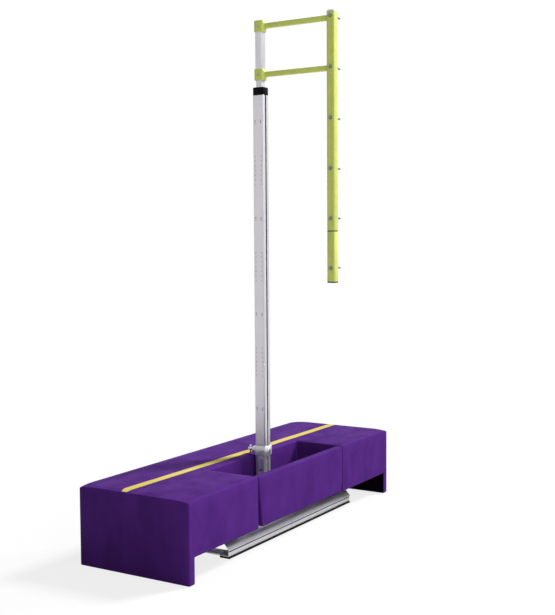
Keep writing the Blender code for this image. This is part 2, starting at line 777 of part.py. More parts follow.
def add_mast(parent, finishes):
    """The inner mast, the sleeve between the collars and the guide block at its foot."""
    top = ARM_HEIGHTS[0] + COLLAR_HEIGHT / 2
    wall = 2 * MAST_WALL
    outer = rounded_box(MAST_SIZE, MAST_SIZE, MAST_CORNER)
    inner = rounded_box(MAST_SIZE - wall, MAST_SIZE - wall, MAST_CORNER / 2)
    bm = bmesh.new()
    add_hollow(bm, (0, 0, MAST_FOOT), (0, 0, 1), top - MAST_FOOT, outer, inner)
    mast = finish(bm, "inner_mast", parent, finishes["aluminium"], (0, 0, MAST_FOOT))
    drill(mast, [*collar_bolt_holes(), key_bolt_hole()])

    sleeve_foot = ARM_HEIGHTS[1] - COLLAR_HEIGHT / 2
    bore = MAST_SIZE + 2 * SEAT
    bm = bmesh.new()
    add_hollow(bm, (0, 0, sleeve_foot), (0, 0, 1), top - sleeve_foot,
               rounded_box(SLEEVE_SIZE, SLEEVE_SIZE, SLEEVE_CORNER),
               rounded_box(bore, bore, MAST_CORNER))
    sleeve = finish(bm, "mast_sleeve", parent, finishes["aluminium"], (0, 0, sleeve_foot))
    drill(sleeve, collar_bolt_holes())

    bm = bmesh.new()
    add_hollow(bm, (0, 0, MAST_FOOT), (0, 0, 1), GUIDE_HEIGHT,
               spigot_outline(RUNNING), rounded_box(bore, bore, MAST_CORNER))
    finish(bm, "mast_guide", parent, finishes["black_nylon"], (0, 0, MAST_FOOT))


def collar_bolt_holes():
    """One bolt right through each collar, sleeve and mast, from the near side."""
    reach = COLLAR_HALF + RUNNING
    shank = SMALL_BOLT.shank
    return [((0, -reach, height), (0, 1, 0), 2 * reach, shank) for height in ARM_HEIGHTS]


def add_collars(parent, finishes):
    """The two cast collars, their bolts, and the arms in the collars' sockets."""
    socket_start = COLLAR_HALF + SOCKET_WALL
    names = ("upper", "lower")
    for name, height, hole in zip(names, ARM_HEIGHTS, collar_bolt_holes()):
        collar = add_collar(f"{name}_collar", parent, finishes["green"], height)
        bore = SLEEVE_SIZE + 2 * SEAT
        bm = bmesh.new()
        add_prism(bm, (0, 0, height - COLLAR_HEIGHT), (0, 0, 1), 2 * COLLAR_HEIGHT,
                  rounded_box(bore, bore, SLEEVE_CORNER))
        combine(collar, bm, "bore")
        bm = bmesh.new()
        add_prism(bm, (socket_start, 0, height), (1, 0, 0), COLLAR_ROOT + SOCKET_WALL,
                  rounded_box(ARM_DEPTH + 2 * SEAT, ARM_HEIGHT + 2 * SEAT, ARM_CORNER))
        combine(collar, bm, "socket")
        drill(collar, [hole])
        add_bolt(f"{name}_collar_bolt", parent, finishes["steel"], (0, -COLLAR_HALF, height),
                 (0, 1, 0), 2 * COLLAR_HALF, SMALL_BOLT)

    start = socket_start + SEAT
    length = ARM_REACH - BAR_SIZE / 2 - SEAT - start
    wall = 2 * ARM_WALL
    for name, height in zip(names, ARM_HEIGHTS):
        bm = bmesh.new()
        add_hollow(bm, (start, 0, height), (1, 0, 0), length,
                   rounded_box(ARM_DEPTH, ARM_HEIGHT, ARM_CORNER),
                   rounded_box(ARM_DEPTH - wall, ARM_HEIGHT - wall, ARM_CORNER / 2))
        finish(bm, f"{name}_arm", parent, finishes["green"], (start, 0, height))


def add_collar(name, parent, material, height):
    """A collar's body: a square block whose root narrows in a smooth curve to the socket."""
    slim_depth = ARM_DEPTH + 2 * (SEAT + SOCKET_WALL)
    slim_height = ARM_HEIGHT + 2 * (SEAT + SOCKET_WALL)
    sections = [(-COLLAR_HALF, rounded_box(2 * COLLAR_HALF, COLLAR_HEIGHT, COLLAR_CORNER))]
    steps = 5
    for step in range(steps + 1):
        share = (1 + math.cos(math.pi * step / steps)) / 2
        depth = slim_depth + (2 * COLLAR_HALF - slim_depth) * share
        tall = slim_height + (COLLAR_HEIGHT - slim_height) * share
        reach = COLLAR_HALF + COLLAR_ROOT * step / steps
        sections.append((reach, rounded_box(depth, tall, COLLAR_CORNER)))
    bm = bmesh.new()
    add_stack(bm, (0, 0, height), (1, 0, 0), sections)
    return finish(bm, name, parent, material, (0, 0, height))


def add_bar(parent, finishes):
    """The hanging bar in two lengths, the splice inside and the plugs at both ends."""
    top = PEG_HEIGHTS[0] + BAR_ABOVE_TOP_PEG
    foot = PEG_HEIGHTS[-1] - BAR_BELOW_LAST_PEG
    inside = BAR_SIZE - 2 * BAR_WALL
    outer = rounded_box(BAR_SIZE, BAR_SIZE, BAR_CORNER)
    inner = rounded_box(inside, inside, BAR_CORNER / 2)
    rows = (
        ("hanging_bar", JOINT_Z, top, PEG_HEIGHTS[:PEGS_ABOVE_JOINT]),
        ("bar_extension", foot, JOINT_Z - SEAT, PEG_HEIGHTS[PEGS_ABOVE_JOINT:]),
    )
    for name, low, high, pegs in rows:
        bm = bmesh.new()
        add_hollow(bm, (ARM_REACH, 0, low), (0, 0, 1), high - low, outer, inner)
        bar = finish(bm, name, parent, finishes["green"], (ARM_REACH, 0, low))
        start_y = -BAR_SIZE / 2 - RUNNING
        depth = BAR_SIZE + 2 * RUNNING
        drill(bar, [((ARM_REACH, start_y, z), (0, 1, 0), depth, LARGE_BOLT.shank) for z in pegs])

    fit = inside - 2 * SEAT
    splice = rounded_box(fit, fit, BAR_CORNER / 2)
    hollow = rounded_box(fit - 2 * BAR_WALL, fit - 2 * BAR_WALL, BAR_CORNER / 3)
    splice_foot = (ARM_REACH, 0, JOINT_Z - SPLICE_DOWN)
    splice_length = SPLICE_DOWN + JOINT_BELOW_PEG - SPLICE_BELOW_PEG
    bm = bmesh.new()
    add_hollow(bm, splice_foot, (0, 0, 1), splice_length, splice, hollow)
    finish(bm, "bar_splice", parent, finishes["aluminium"], splice_foot)

    sections = [(-PLUG_SPIGOT, splice), (SEAT, splice), (SEAT, outer)]
    for share in (0.35, 0.7, 1.0):
        size = BAR_SIZE * math.sqrt(1 - PLUG_DRAWN_IN * share * share)
        sections.append((PLUG_HEIGHT * share, rounded_box(size, size, BAR_CORNER)))
    bm = bmesh.new()
    add_stack(bm, (ARM_REACH, 0, top), (0, 0, 1), sections)
    finish(bm, "bar_top_plug", parent, finishes["silver_plastic"], (ARM_REACH, 0, top))

    slim_size = BAR_SIZE - 2 * END_CAP_CHAMFER
    sections = [
        (-PLUG_SPIGOT, splice),
        (SEAT, splice),
        (SEAT, outer),
        (END_CAP_THICKNESS, outer),
        (END_CAP_THICKNESS + END_CAP_CHAMFER, rounded_box(slim_size, slim_size, BAR_CORNER)),
    ]
    bm = bmesh.new()
    add_stack(bm, (ARM_REACH, 0, foot), (0, 0, -1), sections)
    finish(bm, "bar_end_cap", parent, finishes["black_nylon"], (ARM_REACH, 0, foot))


def add_pegs(parent, finishes):
    """Six pegs through the bar: heads on the near face, tips over the landing side."""
    tip = PEG_REACH - SEAT - LARGE_BOLT.head
    for number, height in enumerate(PEG_HEIGHTS, 1):
        add_bolt(f"crossbar_peg_{number}", parent, finishes["steel"],
                 (ARM_REACH, -BAR_SIZE / 2, height), (0, 1, 0), BAR_SIZE, LARGE_BOLT, tip)


# Slider and clamp


def key_bolt_hole():
    """The bolt that ties slider, key and mast together, from the arm side."""
    start = BOLT_BOSS_REACH + RUNNING
    depth = start - MAST_SIZE / 2 + MAST_WALL + RUNNING
    return (start, 0, SLIDER_Z), (-1, 0, 0), depth, MIDDLE_BOLT.shank


def add_slider(parent, finishes):
    """The cast slider round the tube, and the key that reaches the mast by the slot."""
    opening_x = TUBE_X + 2 * RUNNING
    opening_y = TUBE_Y + 2 * RUNNING
    wall = 2 * SLIDER_WALL
    edge = SLIDER_EDGE
    full = rounded_box(opening_x + wall, opening_y + wall, SLIDER_CORNER, steps=3)
    slim = rounded_box(opening_x + wall - 2 * edge, opening_y + wall - 2 * edge,
                       SLIDER_CORNER - edge, steps=3)
    foot = (0, 0, SLIDER_Z - SLIDER_HEIGHT / 2)
    bm = bmesh.new()
    sections = [(0, slim), (edge, full), (SLIDER_HEIGHT - edge, full), (SLIDER_HEIGHT, slim)]
    add_stack(bm, foot, (0, 0, 1), sections)
    slider = finish(bm, "slider_collar", parent, finishes["cast"], (0, 0, SLIDER_Z))

    inside = SLIDER_FACE - SLIDER_WALL / 2
    screw_boss = [
        (inside, SCREW_BOSS_ROOT),
        (SLIDER_FACE, SCREW_BOSS_ROOT),
        (SLIDER_FACE + SCREW_BOSS_FLARE, SCREW_BOSS_RADIUS),
        (SCREW_BOSS_REACH - BOSS_EDGE, SCREW_BOSS_RADIUS),
        (SCREW_BOSS_REACH, SCREW_BOSS_RADIUS - BOSS_EDGE),
    ]
    bolt_boss = [
        (inside, BOLT_BOSS_RADIUS),
        (BOLT_BOSS_REACH - BOSS_EDGE, BOLT_BOSS_RADIUS),
        (BOLT_BOSS_REACH, BOLT_BOSS_RADIUS - BOSS_EDGE),
    ]
    for label, way, shape in (("screw_boss", -1, screw_boss), ("bolt_boss", 1, bolt_boss)):
        bm = bmesh.new()
        sections = [(reach, circle(radius, BROAD_SIDES)) for reach, radius in shape]
        add_stack(bm, (0, 0, SLIDER_Z), (way, 0, 0), sections)
        combine(slider, bm, label, "UNION")
    bm = bmesh.new()
    add_prism(bm, (0, 0, SLIDER_Z - SLIDER_HEIGHT), (0, 0, 1), 2 * SLIDER_HEIGHT,
              rounded_box(opening_x, opening_y, TUBE_CORNER))
    combine(slider, bm, "opening")
    screw = ((-SCREW_BOSS_REACH - RUNNING, 0, SLIDER_Z), (1, 0, 0), SCREW_BOSS_REACH,
             CLAMP_SCREW_RADIUS)
    drill(slider, [key_bolt_hole(), screw])

    start = MAST_SIZE / 2 + SEAT
    length = opening_x / 2 - SEAT - start
    at = (start, 0, SLIDER_Z)
    bm = bmesh.new()
    add_prism(bm, at, (1, 0, 0), length,
              rounded_box(TUBE_SLOT - 2 * RUNNING, KEY_HEIGHT, KEY_CORNER))
    key = finish(bm, "drive_key", parent, finishes["steel"], at)
    drill(key, [key_bolt_hole()])

    grip = BOLT_BOSS_REACH - MAST_SIZE / 2 + MAST_WALL
    add_bolt("key_bolt", parent, finishes["steel"], (BOLT_BOSS_REACH, 0, SLIDER_Z), (-1, 0, 0),
             grip, MIDDLE_BOLT)


def add_clamp(parent, finishes):
    """The clamp screw and its two-winged handle, which turn together."""
    handle_face = SCREW_BOSS_REACH + HANDLE_GAP
    tip = TUBE_X / 2 + SEAT
    screw_end = handle_face + HANDLE_SOCKET
    bm = bmesh.new()
    ring = circle(CLAMP_SCREW_RADIUS)
    slim = circle(CLAMP_TIP_RADIUS)
    sections = [(tip, slim), (tip + RUNNING, ring), (screw_end, ring)]
    add_stack(bm, (0, 0, SLIDER_Z), (-1, 0, 0), sections)
    finish(bm, "clamp_screw", parent, finishes["steel"], (-screw_end, 0, SLIDER_Z))

    half = HANDLE_SPAN / 2
    wing = [(half, HANDLE_END), (half - HANDLE_TAPER, HANDLE_ARM), (HANDLE_HUB_RISE, HANDLE_ARM)]
    shape = [(-rise, size) for rise, size in wing]
    shape += [(0, HANDLE_HUB)]
    shape += list(reversed(wing))
    hub_length = HANDLE_HUB + 2 * HANDLE_HUB_PROUD
    at = (-handle_face - hub_length / 2, 0, SLIDER_Z)
    sections = [(rise, rounded_box(size, size, size / 3)) for rise, size in shape]
    bm = bmesh.new()
    add_stack(bm, at, (0, 0, 1), sections)
    handle = finish(bm, "clamp_handle", parent, finishes["cast"], at)
    hub = circle(HANDLE_HUB_RADIUS, BROAD_SIDES)
    bm = bmesh.new()
    add_prism(bm, (-handle_face, 0, SLIDER_Z), (-1, 0, 0), hub_length, hub)
    combine(handle, bm, "hub", "UNION")
    socket = ((-handle_face + RUNNING, 0, SLIDER_Z), (-1, 0, 0),
              HANDLE_SOCKET + SEAT + RUNNING, CLAMP_SCREW_RADIUS)
    drill(handle, [socket])


# Pad


def bulge(vertex, low, high, amount, planes):
    """Draw a face in towards its edges, so that its middle stands proud."""
    middle = [(a + b) / 2 for a, b in zip(low, high)]
    spread = [(b - a) / 2 for a, b in zip(low, high)]
    level = [(vertex.co[axis] - middle[axis]) / spread[axis] for axis in range(3)]
    shift = Vector((0, 0, 0))
    for axis, sign in planes:
        if abs(level[axis] - sign) < 0.001:
            fullness = 1.0
            for other in range(3):
                if other != axis:
                    fullness *= 1 - level[other] ** 4
            shift[axis] -= sign * amount * (1 - fullness)
    return shift


def add_soft_block(bm, low, high, cuts, amount, planes):
    """A block cut into strips along each axis, with some of its faces full."""
    add_box(bm, low, high)
    for axis, places in enumerate(cuts):
        normal = [0, 0, 0]
        normal[axis] = 1
        for place in places:
            point = [0, 0, 0]
            point[axis] = place
            bmesh.ops.bisect_plane(bm, geom=bm.verts[:] + bm.edges[:] + bm.faces[:],
                                   plane_co=point, plane_no=normal, dist=1e-6)
    shifts = [(vertex, bulge(vertex, low, high, amount, planes)) for vertex in bm.verts]
    for vertex, shift in shifts:
        vertex.co += shift
    bmesh.ops.triangulate(bm, faces=bm.faces)


def places_between(low, high, count):
    """Evenly spaced places between two ends, without the ends."""
    return [low + (high - low) * step / count for step in range(1, count)]


def add_pad(parent, finishes):
    """The foam block over the base, with its tunnel and the slot round the upright."""
    end = PAD_LENGTH / 2
    half_slot = SLOT_LENGTH / 2
    cuts = (
        [*places_between(-PAD_BACK, SLOT_BACK, 3), *places_between(SLOT_BACK, PAD_FRONT, 3)],
        [*places_between(-end, -half_slot, 4), *places_between(-half_slot, half_slot, 4),
         *places_between(half_slot, end, 4)],
        places_between(0, PAD_HEIGHT, 5),
    )
    planes = ((0, -1), (0, 1), (1, -1), (1, 1), (2, 1))
    bm = bmesh.new()
    add_soft_block(bm, (-PAD_BACK, -end, 0), (PAD_FRONT, end, PAD_HEIGHT), cuts, PAD_CROWN, planes)
    at = ((PAD_FRONT - PAD_BACK) / 2, 0, 0)
    pad = finish(bm, "pad_body", parent, finishes["vinyl"], at)

    beyond = PAD_LEG
    inner = end - PAD_LEG
    bm = bmesh.new()
    add_box(bm, (-PAD_BACK - beyond, -inner, -beyond), (PAD_FRONT + beyond, inner, PAD_TUNNEL))
    combine(pad, bm, "tunnel")
    bm = bmesh.new()
    add_box(bm, (SLOT_BACK, -half_slot, PAD_TUNNEL / 2),
            (PAD_FRONT + beyond, half_slot, PAD_HEIGHT + beyond))
    combine(pad, bm, "slot")
    round_edges(pad, PAD_ROUND, 3)


def add_flap(parent, finishes):
    """The front panel of the slot, hinged at its far seam on the pad's face."""
    half_slot = SLOT_LENGTH / 2
    hinge = (PAD_FRONT, half_slot, (PAD_TUNNEL + PAD_HEIGHT) / 2)
    low = (PAD_FRONT - FLAP_THICKNESS, FLAP_SEAM - half_slot, PAD_TUNNEL)
    high = (PAD_FRONT, half_slot - FLAP_CREASE, PAD_HEIGHT)
    cuts = ((), places_between(low[1], high[1], 6), places_between(low[2], high[2], 4))
    bm = bmesh.new()
    add_soft_block(bm, low, high, cuts, FLAP_CROWN, ((0, 1), (2, 1)))
    flap = finish(bm, "pad_flap", parent, finishes["vinyl"], hinge)
    round_edges(flap, FLAP_ROUND, 3)


def main():
    clear_scene()
    finishes = {
        "aluminium": make_material("mill_aluminium", (0.55, 0.55, 0.58), 0.35, 0.9),
        "cast": make_material("cast_aluminium", (0.50, 0.50, 0.53), 0.45, 0.9),
        "steel": make_material("zinc_plated_steel", (0.45, 0.45, 0.46), 0.3, 1.0),
        "black_steel": make_material("black_painted_steel", (0.012, 0.012, 0.014), 0.45),
        "black_nylon": make_material("black_nylon", (0.010, 0.010, 0.012), 0.5),
        "nylon": make_material("white_nylon", (0.65, 0.65, 0.62), 0.5),
        "rubber": make_material("black_rubber", (0.010, 0.010, 0.010), 0.8),
        "silver_plastic": make_material("silver_plastic", (0.55, 0.57, 0.60), 0.4, 0.3),
        "green": make_material("lime_powder_coat", (0.49, 0.56, 0.07), 0.4),
        "vinyl": make_material("purple_vinyl", (0.10, 0.024, 0.25), 0.45),
    }
    standard = bpy.data.objects.new("standard", None)
    standard.location = (-CENTRE_X, 0, 0)
    bpy.context.scene.collection.objects.link(standard)
    PLACES[standard.name] = Vector((0, 0, 0))

    add_base(standard, finishes)
    carriage = add_pivot("carriage_pivot", standard, (0, 0, DECK_TOP))
    add_deck(carriage, finishes)
    add_rollers(carriage, finishes)
    add_foot(carriage, finishes)
    add_upright(carriage, finishes)
    mast = add_pivot("mast_pivot", carriage, (0, 0, SLIDER_Z))
    add_mast(mast, finishes)
    add_collars(mast, finishes)
    add_bar(mast, finishes)
    add_pegs(mast, finishes)
    add_slider(mast, finishes)
    clamp = add_pivot("clamp_pivot", mast, (-SCREW_BOSS_REACH, 0, SLIDER_Z))
    add_clamp(clamp, finishes)
    pad = add_pivot("pad_pivot", standard, (-PAD_BACK, 0, 0))
    add_pad(pad, finishes)
    add_flap(pad, finishes)


main()
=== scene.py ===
"""A pole vault standard with its padded base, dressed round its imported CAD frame.

Metres, +Z up, in the frame's own axes: +X is the way the arms reach and +Y the way the vaulter
runs, so "near" is the -Y end. Each operator makes one piece or one group of like pieces, and the
panel in the 3D view's sidebar lists them in the order in which main() calls them.
"""

import json
import math
from collections import namedtuple

import bmesh
import bpy
from mathutils import Matrix, Vector, noise
from mathutils.bvhtree import BVHTree


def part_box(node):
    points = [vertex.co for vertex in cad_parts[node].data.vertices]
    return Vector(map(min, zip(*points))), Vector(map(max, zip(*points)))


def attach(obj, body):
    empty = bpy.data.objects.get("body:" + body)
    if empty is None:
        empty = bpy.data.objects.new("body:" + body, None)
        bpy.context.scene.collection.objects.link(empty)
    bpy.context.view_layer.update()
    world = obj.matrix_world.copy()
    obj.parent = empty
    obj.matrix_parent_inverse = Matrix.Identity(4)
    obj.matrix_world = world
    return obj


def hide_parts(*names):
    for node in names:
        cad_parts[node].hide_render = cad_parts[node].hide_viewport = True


bl_info = {
    "name": "Pole vault standard",
    "version": (1, 0, 0),
    "blender": (4, 5, 0),
    "location": "View3D > Sidebar > Vault standard",
    "description": "Dresses the pole vault standard's frame with its pad, finishes and fittings",
    "category": "Object",
}

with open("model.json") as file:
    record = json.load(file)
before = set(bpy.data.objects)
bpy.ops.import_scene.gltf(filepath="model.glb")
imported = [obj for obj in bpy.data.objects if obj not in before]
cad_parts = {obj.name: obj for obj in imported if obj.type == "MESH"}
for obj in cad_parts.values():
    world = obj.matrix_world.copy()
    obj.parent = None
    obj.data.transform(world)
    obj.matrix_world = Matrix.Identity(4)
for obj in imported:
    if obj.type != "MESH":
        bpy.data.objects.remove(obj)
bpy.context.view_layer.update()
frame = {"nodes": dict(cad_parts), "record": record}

X, Y, Z = Vector((1, 0, 0)), Vector((0, 1, 0)), Vector((0, 0, 1))

# Places read from the frame
TUBE_LOW, TUBE_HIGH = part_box("outer_tube")
PAD_LOW, PAD_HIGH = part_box("pad_body")
FLAP_LOW, FLAP_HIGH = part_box("pad_flap")
BAR_LOW, BAR_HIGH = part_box("hanging_bar")
SPLICE_LOW, SPLICE_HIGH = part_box("bar_splice")
DECK_LOW, DECK_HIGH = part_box("deck_plate")
TUBE_X = (TUBE_LOW.x + TUBE_HIGH.x) / 2
BODY_OF = {node: body for body, nodes in frame["record"]["behaviour"]["bodies"].items()
           for node in nodes}

# Fasteners: shank radius, width across flats, head height, washer radius
Fastener = namedtuple("Fastener", "shank across head washer")
SMALL = Fastener(0.003, 0.010, 0.004, 0.0065)
MIDDLE = Fastener(0.004, 0.013, 0.005, 0.0085)
LARGE = Fastener(0.006, 0.018, 0.007, 0.0120)
WASHER_THICKNESS = 0.0015
BOLT_TIP = 0.003
# How far below the frame's bar the domed plug's rim sits
PLUG_DROP = 0.010
# How far apart the ripples of a weld lie, and its radius on heavy and on thin parts
WELD_STEP = 0.003
WELD_RADIUS = 0.0026
THIN_WELD_RADIUS = 0.0020
# How long the cloth simulation runs, in frames
COVER_FRAMES = 20
# How far a seam holds the cover near it, on the pad and on the flap
PAD_SEAM_REACH = 0.05
FLAP_SEAM_REACH = 0.03
# Most that the flap's cover may stand off its foam
FLAP_FULLNESS = 0.003
# How deep the foam hollows and swells, on the pad and on the flap
PAD_SWELL = 0.0013
FLAP_SWELL = 0.0010


def linear(code):
    """An sRGB hex colour as linear red, green and blue."""
    parts = [int(code[place:place + 2], 16) / 255 for place in (1, 3, 5)]
    return [part / 12.92 if part <= 0.04045 else ((part + 0.055) / 1.055) ** 2.4 for part in parts]


def length(name, description, default):
    """A size in metres that a user may change."""
    return bpy.props.FloatProperty(name=name, description=description, default=default,
                                   unit="LENGTH", precision=4)


def colour(name, description, code):
    """A colour that a user may change."""
    return bpy.props.FloatVectorProperty(name=name, description=description, default=linear(code),
                                         subtype="COLOR", size=3, min=0, max=1)


def number(name, description, default):
    """A plain number that a user may change."""
    return bpy.props.FloatProperty(name=name, description=description, default=default)


class PadSettings(bpy.types.PropertyGroup):
    edge_radius: length("Edge radius", "Round of the cover over the foam's edges", 0.009)
    panel_grid: length("Panel grid", "Spacing of the cover's mesh", 0.021)
    fullness: length("Fullness", "Most that the cover may stand off the foam", 0.004)
    overhang: length("Overhang", "How far the cover stands past the foam's ends and back", 0.008)
    pressure: number("Pressure", "How hard the foam fills the cover", 4.0)
    tunnel_height: length("Tunnel height", "Underside of the pad over the base frame", 0.149)
    leg: length("Leg", "Thickness of the pad's two ends", 0.047)
    slot_back: length("Slot back", "X of the slot's back wall", -0.09625)
    slot_half: length("Half slot", "Half the slot's length along Y", 0.530)
    seam_opening: length("Seam opening", "How far the flap's near seam gapes at its foot", 0.040)
    vinyl: colour("Vinyl", "Colour of the coated fabric", "#5B2D88")
    vinyl_dark: colour("Vinyl, dark", "The deeper tone of the fabric's mottling", "#4E2677")
    stripe: colour("Stripe", "Colour of the sewn stripe", "#EDD878")
    stripe_width: length("Stripe width", "Width of the stripe along the top", 0.055)
    stitch: length("Stitch", "Length of one stitch of the thread", 0.007)


class MetalSettings(bpy.types.PropertyGroup):
    aluminium: colour("Aluminium", "Mill-finish extrusions", "#DAD9DF")
    cast: colour("Cast aluminium", "Slider and handle", "#D8D8DE")
    zinc: colour("Zinc plate", "Bolts, pegs and axles", "#9AA0A3")
    green: colour("Powder coat", "Arms, collars and hanging bar", "#EAF57C")
    black: colour("Black paint", "Cheeks, foot plate and gusset", "#151517")
    edge: length("Edge", "Rounding of sawn and machined edges", 0.0007)
    cast_edge: length("Cast edge", "Rounding of the castings' edges", 0.0016)


class ScaleSettings(bpy.types.PropertyGroup):
    top: length("Top number", "Height of the middle of the highest number", 2.600)
    step: length("Step", "Spacing of the large numbers, two feet", 0.6096)
    block: length("Block", "Length of the ruled stretch between two large numbers", 0.180)
    left: length("Left column", "X of the left column from the tube's axis", -0.0215)
    right: length("Right column", "X of the right column from the tube's axis", 0.0195)


class StageSettings(bpy.types.PropertyGroup):
    floor_size: length("Floor size", "Side of the square floor", 60.0)
    key_strength: number("Key light", "Strength of the light that casts the shadow", 3.35)
    soft_strength: number("Soft light", "Strength of the soft light from the front", 0.95)
    sky_strength: number("Sky", "Strength of the even light", 0.12)
    lens: number("Lens", "Focal length on a 36 mm frame, in mm", 61.475)


# Nodes and materials

# How fine and how rough a noise is, and where most of its values lie
NOISE = {"Detail": 4.0, "Roughness": 0.55}
NOISE_SPAN = {"From Min": 0.3, "From Max": 0.7}
# Two patterns multiplied, held between 0 and 1
PRODUCT = {"operation": "MULTIPLY", "use_clamp": True}


def add_node(tree, kind, inputs=None, **settings):
    """Add a node; each input is given a constant, or the node or the socket that feeds it."""
    node = tree.nodes.new("ShaderNode" + kind)
    for name, value in settings.items():
        setattr(node, name, value)
    for name, value in (inputs or {}).items():
        if isinstance(value, bpy.types.Node):
            value = value.outputs[0]
        if isinstance(value, bpy.types.NodeSocket):
            tree.links.new(value, node.inputs[name])
        else:
            node.inputs[name].default_value = value
    return node


def start_material(name, roughness, metallic=0.0, gloss=0.5):
    """A material with only its Principled shader, and Object coordinates to draw patterns on."""
    material = bpy.data.materials.new(name)
    material.use_nodes = True
    tree = material.node_tree
    shader = tree.nodes["Principled BSDF"]
    shader.inputs["Roughness"].default_value = roughness
    shader.inputs["Metallic"].default_value = metallic
    shader.inputs["Specular IOR Level"].default_value = gloss
    place = add_node(tree, "TexCoord").outputs["Object"]
    return material, tree, shader, place


def shaded(tint, share=1.0):
    """A colour as a node takes it, made darker or lighter."""
    return (*[min(1.0, part * share) for part in tint], 1)


def lay_on(tree, shader, base, colours, reliefs, roughness=None):
    """Lay colours over a base and reliefs over one another, each where its pattern says.

    Each colour follows its pattern, and so does each relief's depth in metres. Roughness is a
    pattern with the least and the most that it gives.
    """
    colour, under = base, {}
    for pattern, over in colours:
        colour = add_node(tree, "Mix", {"Factor": pattern, 6: colour, 7: over},
                          data_type="RGBA").outputs[2]
    for pattern, depth in reliefs:
        bump = add_node(tree, "Bump", {"Height": pattern, "Distance": depth, "Strength": 1.0,
                                       **under})
        under = {"Normal": bump}
    tree.links.new(colour, shader.inputs["Base Color"])
    tree.links.new(bump.outputs["Normal"], shader.inputs["Normal"])
    if roughness:
        pattern, least, most = roughness
        spread = add_node(tree, "MapRange", {**NOISE_SPAN, "Value": pattern, "To Min": least,
                                             "To Max": most})
        tree.links.new(spread.outputs["Result"], shader.inputs["Roughness"])


def rubbed_edges(tree, place, patch, least, most):
    """Where an edge has been knocked or rubbed: broken patches along the rounded edges."""
    edges = add_node(tree, "Attribute", attribute_name="edge_wear").outputs["Fac"]
    spots = add_node(tree, "TexNoise", {**NOISE, "Vector": place, "Scale": 1000 / patch})
    patches = add_node(tree, "MapRange", {"Value": spots, "From Min": least, "From Max": most})
    return add_node(tree, "Math", {0: edges, 1: patches}, **PRODUCT)


def mill_aluminium(name, along):
    """Mill-finish extrusion: bright grey, drawn lines along its length, smudges and scratches."""
    tint = tuple(bpy.context.scene.standard_metal.aluminium)
    material, tree, shader, place = start_material(name, 0.34, 0.62)
    stretch = [1.0, 1.0, 1.0]
    stretch["XYZ".index(along)] = 0.012
    # Die lines are a fraction of a millimetre apart; drawn at 2.5 mm, which shows on the tube
    lengthwise = add_node(tree, "Mapping", {"Vector": place, "Scale": stretch})
    lines = add_node(tree, "TexNoise", {**NOISE, "Vector": lengthwise, "Scale": 1000 / 2.5,
                                        "Detail": 2.0})
    smudges = add_node(tree, "TexNoise", {**NOISE, "Vector": place, "Scale": 1000 / 90,
                                          "Detail": 5.0})
    askew = add_node(tree, "Mapping", {"Vector": place, "Scale": (1, 1, 0.04),
                                       "Rotation": (0.5, 0.3, 0.7)})
    streaks = add_node(tree, "TexNoise", {**NOISE, "Vector": askew, "Scale": 1000 / 7,
                                          "Detail": 1.0})
    scratches = add_node(tree, "MapRange", {"Value": streaks, "From Min": 0.66, "From Max": 0.69})
    drawn = add_node(tree, "MapRange", {**NOISE_SPAN, "Value": lines})
    smudged = add_node(tree, "MapRange", {**NOISE_SPAN, "Value": smudges, "To Max": 0.4})
    scratched = add_node(tree, "Math", {0: scratches, 1: 0.35}, **PRODUCT)
    worn = rubbed_edges(tree, place, 14, 0.35, 0.6)
    rubbed = add_node(tree, "Math", {0: worn, 1: 0.5}, **PRODUCT)
    # Painted shade: darker towards #2A292C on the faces a part marks, the rails' groove and slope
    painted_shade = add_node(tree, "Attribute", attribute_name="painted_shade").outputs["Fac"]
    colours = ((drawn, shaded(tint, 1.08)), (smudged, shaded(tint, 0.80)),
               (scratched, shaded(tint, 1.2)), (rubbed, shaded(tint, 1.2)),
               (painted_shade, shaded(linear("#2A292C"))))
    reliefs = ((lines, 0.00006), (scratches, -0.00004))
    lay_on(tree, shader, shaded(tint, 0.88), colours, reliefs, (smudges, 0.28, 0.44))
    return material


def grained(name, code, roughness, metallic, grain, depth, mottle=0.10, spread=0.08, gloss=0.5,
            under=None, chipped=0.6):
    """A finish with a fine grain and soft patches, worn through to another colour at its edges."""
    tint = linear(code) if isinstance(code, str) else tuple(code)
    material, tree, shader, place = start_material(name, roughness, metallic, gloss)
    fine = add_node(tree, "TexNoise", {**NOISE, "Vector": place, "Scale": 1000 / grain})
    patches = add_node(tree, "TexNoise", {**NOISE, "Vector": place,
                                          "Scale": 1000 / (grain * 22)})
    mottled = add_node(tree, "MapRange", {**NOISE_SPAN, "Value": patches})
    worn = rubbed_edges(tree, place, 9, chipped - 0.02, chipped + 0.02)
    bare = shaded(linear(under)) if under else shaded(tint, 1.35)
    lay_on(tree, shader, shaded(tint, 1 - mottle),
           ((mottled, shaded(tint, 1 + mottle)), (worn, bare)),
           ((fine, depth), (worn, -0.00008)),
           (patches, roughness - spread, roughness + spread))
    return material


